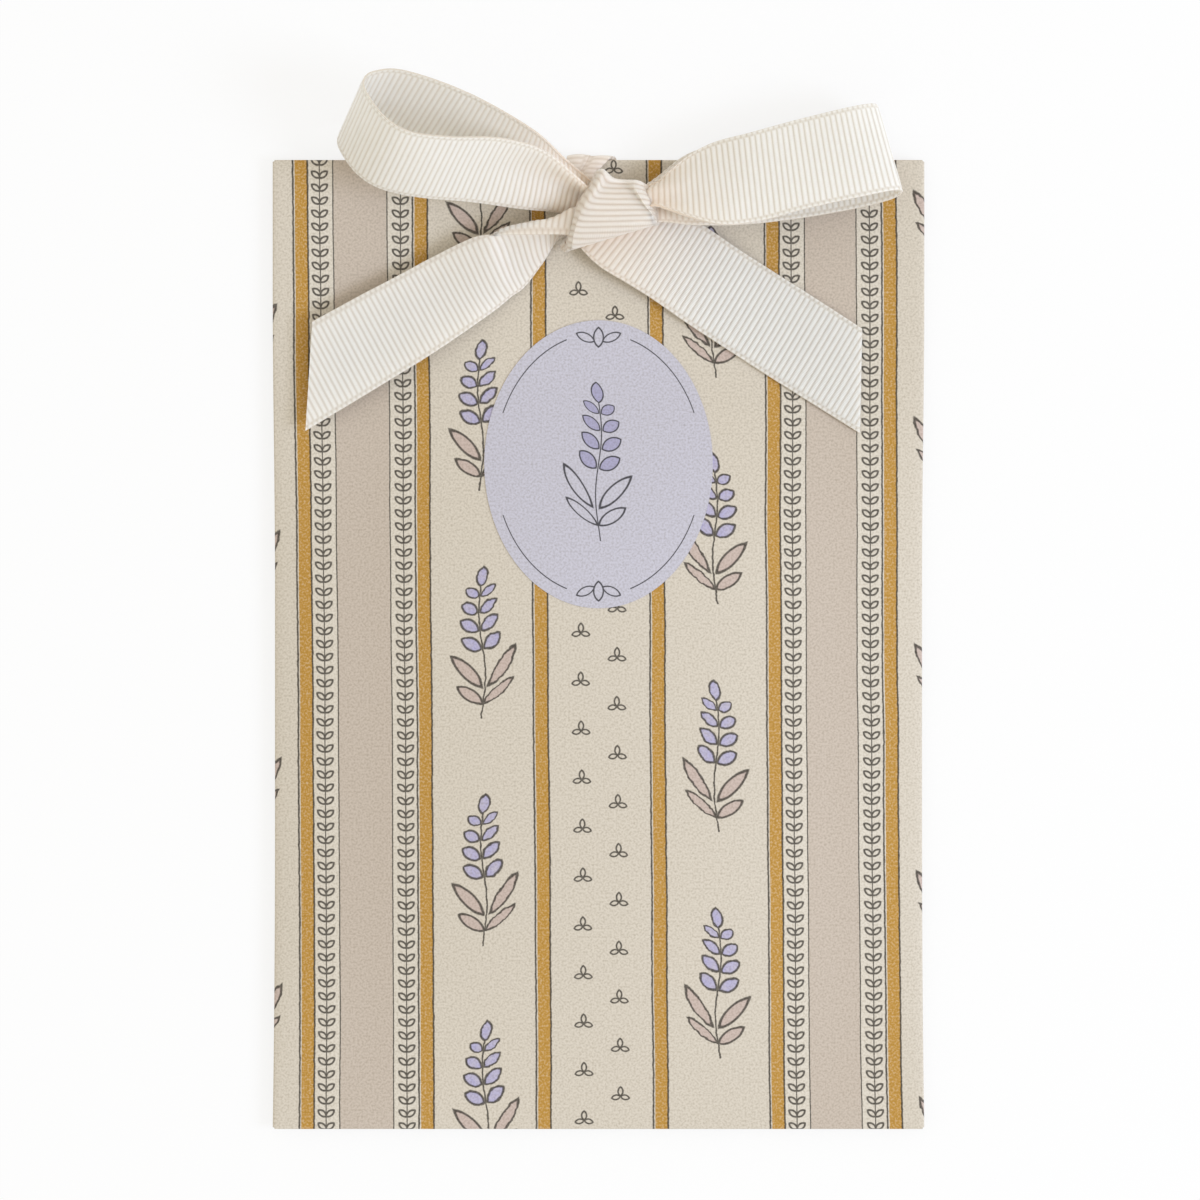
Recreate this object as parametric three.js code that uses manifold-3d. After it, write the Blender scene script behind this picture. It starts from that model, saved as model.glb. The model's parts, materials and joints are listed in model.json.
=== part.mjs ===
// A paper scent sachet: a printed envelope round a filled inner pouch, with an oval label and a ribbon bow.
// It lies on its back. Millimetres, +Z up out of the printed front, +Y towards the bow,
// origin in the middle of the envelope, on the face that it rests on.
import * as THREE from "three";
import { mergeVertices } from "three/addons/utils/BufferGeometryUtils.js";
import Module from "manifold-3d";

const wasm = await Module();
wasm.setup();

// Clearance between pieces that touch, and the closer one between glued layers
const CLEARANCE = 0.3;
const GLUE_CLEARANCE = 0.06;

// Envelope: a front sheet folded round on four sides, and a back sheet glued on its flaps
const ENVELOPE_WIDTH = 115;
const ENVELOPE_HEIGHT = 171;
const PAPER = 0.25;
const GLUE = 0.1;
const FOLD_GAP = 0.2;
const SIDE_FLAP = 12;
const END_FLAP = 20;
const FLAP_MITRE = 0.6;
const BACK_INSET = 1.5;
const GLUE_INSET = 3;
const GLUE_WIDTH = 6;

// The stuffed form: rise of the front, how far the sides draw in, and the flat head above the filling
const CROWN = 7;
const CROWN_ROUNDNESS = 2.2;
const SIDE_DRAW_IN = 0.4;
const HEAD = 24;
const BOTTOM_RISE = 55;
const HEAD_RISE = 50;
const BASE_MARGIN = 18;
const GRID_STEP = 10;

// Vertices closer than this are one
const MERGE = 1e-4;

// Inner pouch and its filling
const WEB = 0.25;
const POUCH_CLEARANCE = 0.2;
const POUCH_FROM_SIDE_FLAP = 2;
const POUCH_FROM_END_FLAP = 4;
const POUCH_FROM_HEAD = 18;
const POUCH_SWELL = 14;
const SEAL_WIDTH = 4;
const FILLING_EDGE = 0.15;

// Oval label
const LABEL_WIDTH = 40.4;
const LABEL_HEIGHT = 50.8;
const LABEL_THICKNESS = 0.12;
const LABEL_FROM_TOP = 53.7;
const LABEL_RINGS = 4;
const LABEL_SIDES = 40;

// Ribbon, the hole that it goes through, and the knot
const RIBBON_WIDTH = 16;
const RIBBON = 0.5;
const HOLE_DIAMETER = 7;
const HOLE_SIDES = 20;
const HOLE_FROM_TOP = 12;
const STRAP_SHIFT = -1.3;
const STRAP_OVER_EDGE = 8.5;
const STRAP_BEND = 1;
const STRAP_STEPS = 36;
const TABLE_CLEARANCE = 0.4;
const KNOT_SHIFT = 1.7;
const KNOT_FROM_TOP = 10.6;
const KNOT_GATHER = 0.88;
const KNOT_LENGTH = 13;
const KNOT_HEIGHT = 8;
const KNOT_SIDES = 28;
const TAIL_GAP = 0.5;

// Loops, as stations along the ribbon from the front of the knot round to its back. Each gives the place
// of the ribbon's middle, from the knot's side, the direction across it, and the share of its width left.
const LEFT_LOOP = [
  { at: [0, 3.8, 1.4], across: [0, 0.72, 0.7], gather: 0.45 },
  { at: [-5.9, 6.2, 4.5], across: [0.25, 0.72, 0.65], gather: 0.8 },
  { at: [-14.2, 8, 8], across: [0.33, 0.65, 0.68], gather: 1 },
  { at: [-23, 8.4, 10], across: [0.34, 0.61, 0.71], gather: 1 },
  { at: [-29.8, 9.6, 10.2], across: [0.33, 0.58, 0.75], gather: 1 },
  { at: [-34.1, 12.3, 9], across: [0.32, 0.58, 0.75], gather: 1 },
  { at: [-37.2, 16.6, 6.4], across: [0.31, 0.59, 0.75], gather: 1 },
  { at: [-37.6, 19.4, 4.3], across: [0.31, 0.59, 0.75], gather: 1 },
  { at: [-35.9, 21.4, 2.7], across: [0.33, 0.56, 0.76], gather: 1 },
  { at: [-31, 21.6, 1.6], across: [0.36, 0.54, 0.76], gather: 1 },
  { at: [-20.5, 17.2, 1.2], across: [0.39, 0.55, 0.74], gather: 1 },
  { at: [-7.9, 10.6, 0.9], across: [0.3, 0.66, 0.69], gather: 0.7 },
  { at: [0, 6, -0.6], across: [0, 0.85, 0.53], gather: 0.4 },
];
const RIGHT_LOOP = [
  { at: [0, 2.4, 1.5], across: [0, 0.9, -0.43], gather: 0.45 },
  { at: [6.6, 4.4, 2.8], across: [-0.1, 0.9, -0.42], gather: 0.78 },
  { at: [11.9, 5.4, 3.6], across: [-0.1, 0.95, -0.3], gather: 1 },
  { at: [18.5, 7.1, 4], across: [-0.1, 0.98, -0.18], gather: 1 },
  { at: [26.3, 9.2, 4.1], across: [-0.13, 0.97, -0.18], gather: 1 },
  { at: [35.8, 11.2, 3.8], across: [-0.17, 0.96, -0.2], gather: 1 },
  { at: [41.2, 12.2, 2.2], across: [-0.22, 0.94, -0.25], gather: 1 },
  { at: [42.3, 11.8, 0], across: [-0.23, 0.93, -0.28], gather: 1 },
  { at: [40.4, 10.8, -2.2], across: [-0.2, 0.94, -0.26], gather: 1 },
  { at: [34.3, 9.4, -3.1], across: [-0.16, 0.96, -0.22], gather: 1 },
  { at: [25.5, 7.6, -3], across: [-0.12, 0.97, -0.2], gather: 1 },
  { at: [15.7, 5.6, -2.4], across: [-0.09, 0.95, -0.3], gather: 0.95 },
  { at: [7.2, 3.6, -1.8], across: [-0.05, 0.9, -0.43], gather: 0.75 },
  { at: [0, 1.6, -1.6], across: [0, 0.9, -0.43], gather: 0.45 },
];
const LOOP_STEPS = 40;

// Tails: where each leaves the knot, from the knot's side, its direction and length, and its slanted cut
const LEFT_TAIL = { root: [-0.5, -4], turn: 208.7, length: 51.5, gather: 0.5, cut: 10.8 };
const RIGHT_TAIL = { root: [1.1, -6.5], turn: -31, length: 42.6, gather: 0.6, cut: 8.8 };
const TAIL_SPREAD = 13;
const TAIL_CUT_EASE = 4;
const TAIL_RISE = 1.2;
const TAIL_STATIONS = 8;
const TAIL_STEPS = 16;

const HALF_WIDTH = ENVELOPE_WIDTH / 2;
const HALF_HEIGHT = ENVELOPE_HEIGHT / 2;

// Layers of the envelope's edge, counted up from the underside of the back sheet
const BACK_TOP = PAPER;
const GLUE_LOW = BACK_TOP + GLUE_CLEARANCE;
const FLAP_LOW = GLUE_LOW + GLUE + GLUE_CLEARANCE;
const FLAP_TOP = FLAP_LOW + PAPER;
const FRONT_LOW = FLAP_TOP + FOLD_GAP;
const FRONT_TOP = FRONT_LOW + PAPER;

// The edge stands off the table so that the ribbon can pass under the head
const EDGE_LIFT = CLEARANCE + RIBBON + TABLE_CLEARANCE;
const HEAD_TOP = EDGE_LIFT + FRONT_TOP;

function smooth(from, to, value) {
  return THREE.MathUtils.smoothstep(value, from, to);
}

// Share of the full rise at a place on the front: none at the edges and on the head
function bulge(x, y) {
  const across = 1 - Math.abs(x / HALF_WIDTH) ** CROWN_ROUNDNESS;
  const fromBottom = THREE.MathUtils.clamp((y + HALF_HEIGHT) / BOTTOM_RISE, 0, 1);
  const fromHead = smooth(0, HEAD_RISE, HALF_HEIGHT - HEAD - y);
  return Math.max(across, 0) * (1 - (1 - fromBottom) ** CROWN_ROUNDNESS) * fromHead;
}

// Underside of the back sheet: flat on the table, rising to the edges and the head
function lift(x, y) {
  const side = smooth(0, BASE_MARGIN, HALF_WIDTH - Math.abs(x));
  const bottom = smooth(0, BASE_MARGIN, y + HALF_HEIGHT);
  const head = smooth(0, BASE_MARGIN, HALF_HEIGHT - HEAD - y);
  return EDGE_LIFT * (1 - side * bottom * head);
}

function frontLow(x, y) {
  return lift(x, y) + FRONT_LOW + CROWN * bulge(x, y);
}

function frontTop(x, y) {
  return frontLow(x, y) + PAPER;
}

function layer(height) {
  return (x, y) => lift(x, y) + height;
}

// The stuffing draws the sides in between the corners
function drawnIn(x, y) {
  return x * (1 - (SIDE_DRAW_IN / HALF_WIDTH) * bulge(0, y));
}

// Grid lines through a set of breaks, no further apart than the step
function gridLines(breaks, step) {
  const sorted = [...new Set(breaks)].sort((a, b) => a - b);
  const lines = [sorted[0]];
  for (let i = 1; i < sorted.length; i++) {
    const parts = Math.ceil((sorted[i] - sorted[i - 1]) / step);
    for (let k = 1; k <= parts; k++) {
      lines.push(sorted[i - 1] + ((sorted[i] - sorted[i - 1]) * k) / parts);
    }
  }
  return lines;
}

function between(lines, from, to) {
  return lines.filter((value) => value >= from && value <= to);
}

function geometryOf(points, triangles) {
  const geometry = new THREE.BufferGeometry();
  geometry.setAttribute("position", new THREE.Float32BufferAttribute(points, 3));
  geometry.setIndex(triangles);
  return geometry;
}

// A closed sheet between two height fields, on grid lines in x and y
function sheet(xLines, yLines, low, high) {
  const columns = xLines.length;
  const rows = yLines.length;
  const points = [];
  for (const height of [low, high]) {
    for (const y of yLines) {
      for (const x of xLines) {
        points.push(drawnIn(x, y), y, height(x, y));
      }
    }
  }
  const at = (level, row, column) => (level * rows + row) * columns + column;
  const triangles = [];
  const quad = (a, b, c, d) => triangles.push(a, b, c, a, c, d);
  for (let r = 0; r + 1 < rows; r++) {
    for (let c = 0; c + 1 < columns; c++) {
      quad(at(1, r, c), at(1, r, c + 1), at(1, r + 1, c + 1), at(1, r + 1, c));
      triangles.push(at(0, r, c), at(0, r + 1, c + 1), at(0, r, c + 1));
      triangles.push(at(0, r, c), at(0, r + 1, c), at(0, r + 1, c + 1));
    }
  }
  for (let c = 0; c + 1 < columns; c++) {
    quad(at(0, 0, c), at(0, 0, c + 1), at(1, 0, c + 1), at(1, 0, c));
    quad(at(0, rows - 1, c + 1), at(0, rows - 1, c), at(1, rows - 1, c), at(1, rows - 1, c + 1));
  }
  for (let r = 0; r + 1 < rows; r++) {
    quad(at(0, r + 1, 0), at(0, r, 0), at(1, r, 0), at(1, r + 1, 0));
    quad(at(0, r, columns - 1), at(0, r + 1, columns - 1), at(1, r + 1, columns - 1), at(1, r, columns - 1));
  }
  return geometryOf(points, triangles);
}

function solidOf(geometry) {
  const bare = geometry.clone();
  bare.deleteAttribute("normal");
  bare.deleteAttribute("uv");
  const merged = mergeVertices(bare, MERGE);
  return new wasm.Manifold(
    new wasm.Mesh({
      numProp: 3,
      vertProperties: new Float32Array(merged.getAttribute("position").array),
      triVerts: new Uint32Array(merged.getIndex().array),
    }),
  );
}

function geometryFrom(solid) {
  const mesh = solid.getMesh();
  return geometryOf([...mesh.vertProperties], [...mesh.triVerts]);
}

// Lines that every layer of the envelope shares, so that stacked layers never cross
const SIDE_BREAKS = [0, PAPER, BACK_INSET, GLUE_INSET, GLUE_INSET + GLUE_WIDTH, SIDE_FLAP, SIDE_FLAP + FLAP_MITRE];
const END_BREAKS = [0, PAPER, BACK_INSET, GLUE_INSET, GLUE_INSET + GLUE_WIDTH, END_FLAP];
const X_BREAKS = SIDE_BREAKS.flatMap((inset) => [inset - HALF_WIDTH, HALF_WIDTH - inset]);
const Y_BREAKS = END_BREAKS.flatMap((inset) => [inset - HALF_HEIGHT, HALF_HEIGHT - inset]);
const X_LINES = gridLines([...X_BREAKS, BASE_MARGIN - HALF_WIDTH, HALF_WIDTH - BASE_MARGIN], GRID_STEP);
const Y_LINES = gridLines([...Y_BREAKS, BASE_MARGIN - HALF_HEIGHT, HALF_HEIGHT - HEAD], GRID_STEP);

function panel(left, right, bottom, top, low, high) {
  return sheet(between(X_LINES, left, right), between(Y_LINES, bottom, top), low, high);
}

function punchedHole() {
  const drill = new THREE.CylinderGeometry(HOLE_DIAMETER / 2, HOLE_DIAMETER / 2, ENVELOPE_WIDTH, HOLE_SIDES);
  drill.rotateX(Math.PI / 2);
  drill.translate(0, HALF_HEIGHT - HOLE_FROM_TOP, 0);
  return solidOf(drill);
}

// Front sheet: the printed face, four folds and the four flaps turned in behind it
function frontSheet() {
  const flapLow = layer(FLAP_LOW);
  const flapTop = layer(FLAP_TOP);
  const sideFold = HALF_WIDTH - PAPER;
  const endFold = HALF_HEIGHT - PAPER;
  const sideFlap = HALF_WIDTH - SIDE_FLAP;
  const endFlap = HALF_HEIGHT - END_FLAP;
  const mitre = sideFlap - FLAP_MITRE;
  const pieces = [
    panel(-HALF_WIDTH, -sideFold, -HALF_HEIGHT, HALF_HEIGHT, flapLow, frontTop),
    panel(sideFold, HALF_WIDTH, -HALF_HEIGHT, HALF_HEIGHT, flapLow, frontTop),
    panel(-mitre, mitre, -HALF_HEIGHT, -endFold, flapLow, frontTop),
    panel(-mitre, mitre, endFold, HALF_HEIGHT, flapLow, frontTop),
    panel(-HALF_WIDTH, -sideFlap, -HALF_HEIGHT, HALF_HEIGHT, flapLow, flapTop),
    panel(sideFlap, HALF_WIDTH, -HALF_HEIGHT, HALF_HEIGHT, flapLow, flapTop),
    panel(-mitre, mitre, -HALF_HEIGHT, -endFlap, flapLow, flapTop),
    panel(-mitre, mitre, endFlap, HALF_HEIGHT, flapLow, flapTop),
  ];
  let solid = solidOf(panel(-HALF_WIDTH, HALF_WIDTH, -HALF_HEIGHT, HALF_HEIGHT, frontLow, frontTop));
  for (const piece of pieces) {
    solid = solid.add(solidOf(piece));
  }
  return geometryFrom(solid.subtract(punchedHole()));
}

function backSheet() {
  const side = HALF_WIDTH - BACK_INSET;
  const end = HALF_HEIGHT - BACK_INSET;
  const whole = panel(-side, side, -end, end, lift, layer(BACK_TOP));
  return geometryFrom(solidOf(whole).subtract(punchedHole()));
}

function glueStrip(left, right, bottom, top) {
  return panel(left, right, bottom, top, layer(GLUE_LOW), layer(GLUE_LOW + GLUE));
}

// Inner pouch: how full it is at a place, from none at its sealed rim
const POUCH_RIGHT = HALF_WIDTH - SIDE_FLAP - POUCH_FROM_SIDE_FLAP;
const POUCH_LEFT = -POUCH_RIGHT;
const POUCH_BOTTOM = END_FLAP + POUCH_FROM_END_FLAP - HALF_HEIGHT;
const POUCH_TOP = HALF_HEIGHT - HEAD - POUCH_FROM_HEAD;

function pouchFullness(x, y) {
  const side = smooth(SEAL_WIDTH, SEAL_WIDTH + POUCH_SWELL, POUCH_RIGHT - Math.abs(x));
  const bottom = smooth(SEAL_WIDTH, SEAL_WIDTH + POUCH_SWELL, y - POUCH_BOTTOM);
  const top = smooth(SEAL_WIDTH, SEAL_WIDTH + POUCH_SWELL, POUCH_TOP - y);
  return side * bottom * top;
}

function webBackTop(x, y) {
  return lift(x, y) + BACK_TOP + POUCH_CLEARANCE + WEB;
}

function webFrontLow(x, y) {
  const sealed = webBackTop(x, y) + POUCH_CLEARANCE;
  const full = frontLow(x, y) - POUCH_CLEARANCE - WEB;
  return sealed + Math.max(full - sealed, 0) * pouchFullness(x, y);
}

function fillingTop(x, y) {
  const lowest = webBackTop(x, y) + POUCH_CLEARANCE + FILLING_EDGE;
  return Math.max(webFrontLow(x, y) - POUCH_CLEARANCE, lowest);
}

// The filling keeps clear of the seal, and starts where the two webs part far enough to hold it
const FILLING_RIM = SEAL_WIDTH + POUCH_SWELL / 2;
const POUCH_BREAKS = [0, SEAL_WIDTH, FILLING_RIM, SEAL_WIDTH + POUCH_SWELL];
const POUCH_X = gridLines(POUCH_BREAKS.flatMap((inset) => [POUCH_LEFT + inset, POUCH_RIGHT - inset]), GRID_STEP);
const POUCH_Y = gridLines(POUCH_BREAKS.flatMap((inset) => [POUCH_BOTTOM + inset, POUCH_TOP - inset]), GRID_STEP);

function pouchBackWeb() {
  return sheet(POUCH_X, POUCH_Y, (x, y) => webBackTop(x, y) - WEB, webBackTop);
}

function pouchFrontWeb() {
  return sheet(POUCH_X, POUCH_Y, webFrontLow, (x, y) => webFrontLow(x, y) + WEB);
}

function scentedFilling() {
  const xLines = between(POUCH_X, POUCH_LEFT + FILLING_RIM, POUCH_RIGHT - FILLING_RIM);
  const yLines = between(POUCH_Y, POUCH_BOTTOM + FILLING_RIM, POUCH_TOP - FILLING_RIM);
  return sheet(xLines, yLines, (x, y) => webBackTop(x, y) + POUCH_CLEARANCE, fillingTop);
}

// Oval label, lying on the crowned front
function ovalLabel() {
  const profile = [];
  for (let ring = 0; ring <= LABEL_RINGS; ring++) {
    profile.push(new THREE.Vector2(ring / LABEL_RINGS, 0));
  }
  for (let ring = LABEL_RINGS; ring >= 0; ring--) {
    profile.push(new THREE.Vector2(ring / LABEL_RINGS, 1));
  }
  const disc = new THREE.LatheGeometry(profile, LABEL_SIDES);
  disc.rotateX(Math.PI / 2);
  const place = disc.getAttribute("position");
  for (let i = 0; i < place.count; i++) {
    const x = (place.getX(i) * LABEL_WIDTH) / 2;
    const y = HALF_HEIGHT - LABEL_FROM_TOP + (place.getY(i) * LABEL_HEIGHT) / 2;
    const rise = CLEARANCE + place.getZ(i) * LABEL_THICKNESS;
    place.setXYZ(i, x, y, frontTop(x, y) + rise);
  }
  return geometryFrom(solidOf(disc));
}

// A ribbon swept through stations, each with its middle, the direction across and a width
function ribbonBand(stations, steps) {
  const vectors = (key) => stations.map((station) => station[key]);
  const middle = new THREE.CatmullRomCurve3(vectors("at"), false, "catmullrom", 0.5);
  const across = new THREE.CatmullRomCurve3(vectors("across"), false, "catmullrom", 0.5);
  const widths = stations.map((station) => new THREE.Vector3(station.width, 0, 0));
  const width = new THREE.CatmullRomCurve3(widths, false, "catmullrom", 0.5);
  const points = [];
  for (let i = 0; i <= steps; i++) {
    const share = i / steps;
    const centre = middle.getPoint(share);
    const side = across.getPoint(share).normalize();
    const out = middle.getTangent(share).cross(side).normalize().multiplyScalar(RIBBON / 2);
    side.multiplyScalar(width.getPoint(share).x / 2);
    for (const [s, o] of [[1, 1], [-1, 1], [-1, -1], [1, -1]]) {
      points.push(centre.x + s * side.x + o * out.x);
      points.push(centre.y + s * side.y + o * out.y);
      points.push(centre.z + s * side.z + o * out.z);
    }
  }
  const triangles = [0, 2, 1, 0, 3, 2];
  for (let i = 0; i < steps; i++) {
    for (let k = 0; k < 4; k++) {
      const a = i * 4 + k;
      const b = i * 4 + ((k + 1) % 4);
      triangles.push(a, b, b + 4, a, b + 4, a + 4);
    }
  }
  const end = steps * 4;
  triangles.push(end, end + 1, end + 2, end, end + 2, end + 3);
  return geometryOf(points, triangles);
}

// The knot's middle, and the sides that the loops and tails leave from
const KNOT_WIDTH = RIBBON_WIDTH * KNOT_GATHER;
const STRAP_TOP = HEAD_TOP + CLEARANCE + RIBBON;
const KNOT = new THREE.Vector3(KNOT_SHIFT, HALF_HEIGHT - KNOT_FROM_TOP, STRAP_TOP + CLEARANCE + KNOT_HEIGHT / 2);

function knotSide(sign) {
  return KNOT.clone().add(new THREE.Vector3(sign * (KNOT_WIDTH / 2 + CLEARANCE), 0, 0));
}

function loopBand(stations, sign) {
  const root = knotSide(sign);
  const placed = stations.map((station) => ({
    at: new THREE.Vector3(...station.at).add(root),
    across: new THREE.Vector3(...station.across).normalize(),
    width: RIBBON_WIDTH * station.gather,
  }));
  return ribbonBand(placed, LOOP_STEPS);
}

// A tail lies on the paper, gathered where it leaves the knot and cut on the slant at its end
function tailBand(tail, sign) {
  const root = knotSide(sign).add(new THREE.Vector3(...tail.root, 0));
  const turn = THREE.MathUtils.degToRad(tail.turn);
  const along = new THREE.Vector2(Math.cos(turn), Math.sin(turn));
  const up = new THREE.Vector2(-along.y, along.x).multiplyScalar(sign);
  const placed = [];
  for (let i = 0; i < TAIL_STATIONS; i++) {
    const run = (tail.length * i) / (TAIL_STATIONS - 1);
    const width = RIBBON_WIDTH * THREE.MathUtils.lerp(tail.gather, 1, smooth(0, TAIL_SPREAD, run));
    const slant = (tail.cut / 2) * (i / (TAIL_STATIONS - 1)) ** TAIL_CUT_EASE;
    const edges = [1, -1].map((edge) => {
      const reach = run - edge * slant;
      const x = root.x + along.x * reach + (up.x * edge * width) / 2;
      const y = root.y + along.y * reach + (up.y * edge * width) / 2;
      const rise = TAIL_RISE * (1 - smooth(0, TAIL_SPREAD, run));
      return new THREE.Vector3(x, y, frontTop(x, y) + TAIL_GAP + RIBBON / 2 + rise);
    });
    const across = edges[0].clone().sub(edges[1]);
    placed.push({
      at: edges[0].clone().add(edges[1]).multiplyScalar(0.5),
      width: across.length(),
      across: across.normalize(),
    });
  }
  return ribbonBand(placed, TAIL_STEPS);
}

// The ribbon's pass through the hole, up the back and over the top edge to the knot
function strapBand() {
  const hole = HALF_HEIGHT - HOLE_FROM_TOP;
  const under = EDGE_LIFT - CLEARANCE - RIBBON / 2;
  const over = HEAD_TOP + CLEARANCE + RIBBON / 2;
  const edge = HALF_HEIGHT + CLEARANCE + RIBBON / 2;
  const inHole = HOLE_DIAMETER - 2 * CLEARANCE;
  const path = [
    { at: [0, hole, over], width: inHole },
    { at: [0, hole, HEAD_TOP - PAPER], width: inHole },
    { at: [0, hole + STRAP_BEND / 3, EDGE_LIFT], width: inHole },
    { at: [0, hole + 2 * STRAP_BEND, under], width: inHole },
    { at: [STRAP_SHIFT / 2, hole + HOLE_FROM_TOP / 2, under], width: STRAP_OVER_EDGE },
    { at: [STRAP_SHIFT, HALF_HEIGHT - STRAP_BEND, under], width: STRAP_OVER_EDGE },
    { at: [STRAP_SHIFT, edge, (under + over - STRAP_BEND) / 2], width: STRAP_OVER_EDGE },
    { at: [STRAP_SHIFT, edge, (under + over + STRAP_BEND) / 2], width: STRAP_OVER_EDGE },
    { at: [STRAP_SHIFT, HALF_HEIGHT - STRAP_BEND, over], width: STRAP_OVER_EDGE },
    { at: [STRAP_SHIFT, KNOT.y + KNOT_LENGTH / 4, over], width: STRAP_OVER_EDGE },
  ];
  const placed = path.map((station) => ({
    at: new THREE.Vector3(...station.at),
    across: new THREE.Vector3(1, 0, 0),
    width: station.width,
  }));
  return ribbonBand(placed, STRAP_STEPS);
}

// The turn of ribbon round the knot, and what it grips
function knotWrap() {
  const outline = new THREE.Shape();
  outline.absellipse(0, 0, KNOT_LENGTH / 2, KNOT_HEIGHT / 2, 0, 2 * Math.PI);
  const inside = new THREE.Path();
  inside.absellipse(0, 0, KNOT_LENGTH / 2 - RIBBON, KNOT_HEIGHT / 2 - RIBBON, 0, 2 * Math.PI);
  outline.holes.push(inside);
  const settings = { depth: KNOT_WIDTH, bevelEnabled: false, curveSegments: KNOT_SIDES / 2 };
  const ring = new THREE.ExtrudeGeometry(outline, settings);
  ring.translate(0, 0, -KNOT_WIDTH / 2);
  ring.rotateX(Math.PI / 2);
  ring.rotateZ(Math.PI / 2);
  ring.translate(KNOT.x, KNOT.y, KNOT.z);
  return ring;
}

function knotCore() {
  const core = new THREE.SphereGeometry(1, KNOT_SIDES / 2, KNOT_SIDES / 3);
  const grip = RIBBON + CLEARANCE;
  core.rotateZ(Math.PI / 2);
  core.scale(KNOT_WIDTH / 2, KNOT_LENGTH / 2 - grip, KNOT_HEIGHT / 2 - grip);
  core.translate(KNOT.x, KNOT.y, KNOT.z);
  return core;
}

function material(color, roughness) {
  return new THREE.MeshStandardMaterial({ color, roughness, metalness: 0 });
}

const sachet = new THREE.Group();

function add(name, geometry, color, roughness) {
  const mesh = new THREE.Mesh(geometry, material(color, roughness));
  mesh.name = name;
  sachet.add(mesh);
}

// Roughness of each finish
const PAPER_FINISH = 0.85;
const LABEL_FINISH = 0.8;
const GLUE_FINISH = 0.5;
const LOOSE_FINISH = 0.9;
const RIBBON_FINISH = 0.65;

// Colours
const PRINTED_PAPER = 0xd8cec0;
const PLAIN_PAPER = 0xd3c8b8;
const DRIED_GLUE = 0xe6dfd0;
const NON_WOVEN = 0xf0eee8;
const GRANULES = 0xb9a27c;
const LABEL_PAPER = 0xc6c4cf;
const IVORY = 0xe2ded8;

const glueOut = HALF_WIDTH - GLUE_INSET;
const glueIn = glueOut - GLUE_WIDTH;
const endOut = HALF_HEIGHT - GLUE_INSET;
const endIn = endOut - GLUE_WIDTH;
const sideFlapEdge = HALF_WIDTH - SIDE_FLAP - FLAP_MITRE;

add("front_sheet", frontSheet(), PRINTED_PAPER, PAPER_FINISH);
add("back_sheet", backSheet(), PLAIN_PAPER, PAPER_FINISH);
add("glue_left", glueStrip(-glueOut, -glueIn, -endIn, endIn), DRIED_GLUE, GLUE_FINISH);
add("glue_right", glueStrip(glueIn, glueOut, -endIn, endIn), DRIED_GLUE, GLUE_FINISH);
add("glue_bottom", glueStrip(-sideFlapEdge, sideFlapEdge, -endOut, -endIn), DRIED_GLUE, GLUE_FINISH);
add("glue_top", glueStrip(-sideFlapEdge, sideFlapEdge, endIn, endOut), DRIED_GLUE, GLUE_FINISH);
add("pouch_back_web", pouchBackWeb(), NON_WOVEN, LOOSE_FINISH);
add("pouch_front_web", pouchFrontWeb(), NON_WOVEN, LOOSE_FINISH);
add("scented_filling", scentedFilling(), GRANULES, LOOSE_FINISH);
add("oval_label", ovalLabel(), LABEL_PAPER, LABEL_FINISH);
add("ribbon_strap", strapBand(), IVORY, RIBBON_FINISH);
add("knot_core", knotCore(), IVORY, RIBBON_FINISH);
add("knot_wrap", knotWrap(), IVORY, RIBBON_FINISH);
add("bow_loop_left", loopBand(LEFT_LOOP, -1), IVORY, RIBBON_FINISH);
add("bow_loop_right", loopBand(RIGHT_LOOP, 1), IVORY, RIBBON_FINISH);
add("bow_tail_left", tailBand(LEFT_TAIL, -1), IVORY, RIBBON_FINISH);
add("bow_tail_right", tailBand(RIGHT_TAIL, 1), IVORY, RIBBON_FINISH);

export default sachet;
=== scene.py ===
import json
import math

import bmesh
import bpy
import numpy as np
from mathutils import Color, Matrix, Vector


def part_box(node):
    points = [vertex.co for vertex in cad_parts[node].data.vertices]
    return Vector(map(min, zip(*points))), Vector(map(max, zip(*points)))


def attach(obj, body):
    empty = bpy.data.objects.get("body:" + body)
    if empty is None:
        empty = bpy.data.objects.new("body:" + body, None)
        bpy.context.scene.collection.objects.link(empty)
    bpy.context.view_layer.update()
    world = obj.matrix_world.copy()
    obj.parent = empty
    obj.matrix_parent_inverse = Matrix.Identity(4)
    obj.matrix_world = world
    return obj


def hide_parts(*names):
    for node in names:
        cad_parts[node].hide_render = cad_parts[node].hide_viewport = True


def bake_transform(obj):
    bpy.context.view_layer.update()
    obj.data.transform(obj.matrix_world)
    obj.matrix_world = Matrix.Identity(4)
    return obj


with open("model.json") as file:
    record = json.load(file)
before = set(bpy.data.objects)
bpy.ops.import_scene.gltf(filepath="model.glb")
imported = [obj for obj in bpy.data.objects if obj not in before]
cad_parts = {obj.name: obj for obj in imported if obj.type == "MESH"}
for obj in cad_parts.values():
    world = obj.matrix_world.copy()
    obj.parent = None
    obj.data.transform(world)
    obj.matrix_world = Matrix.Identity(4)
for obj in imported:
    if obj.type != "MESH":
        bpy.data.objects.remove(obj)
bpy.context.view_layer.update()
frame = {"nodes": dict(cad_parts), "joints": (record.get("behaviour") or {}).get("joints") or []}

# Camera: the sachet lies on its back and is seen from straight above, from more than a metre away,
# so that its edges stay square.
MM = 0.001
SEEN_WIDTH = 211.7 * MM
SEEN_MIDDLE = (0.26 * MM, 7.85 * MM)
SEEN_LEVEL = 2.4 * MM
CAMERA_ABOVE = 1200 * MM
SENSOR_MM = 36

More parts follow.
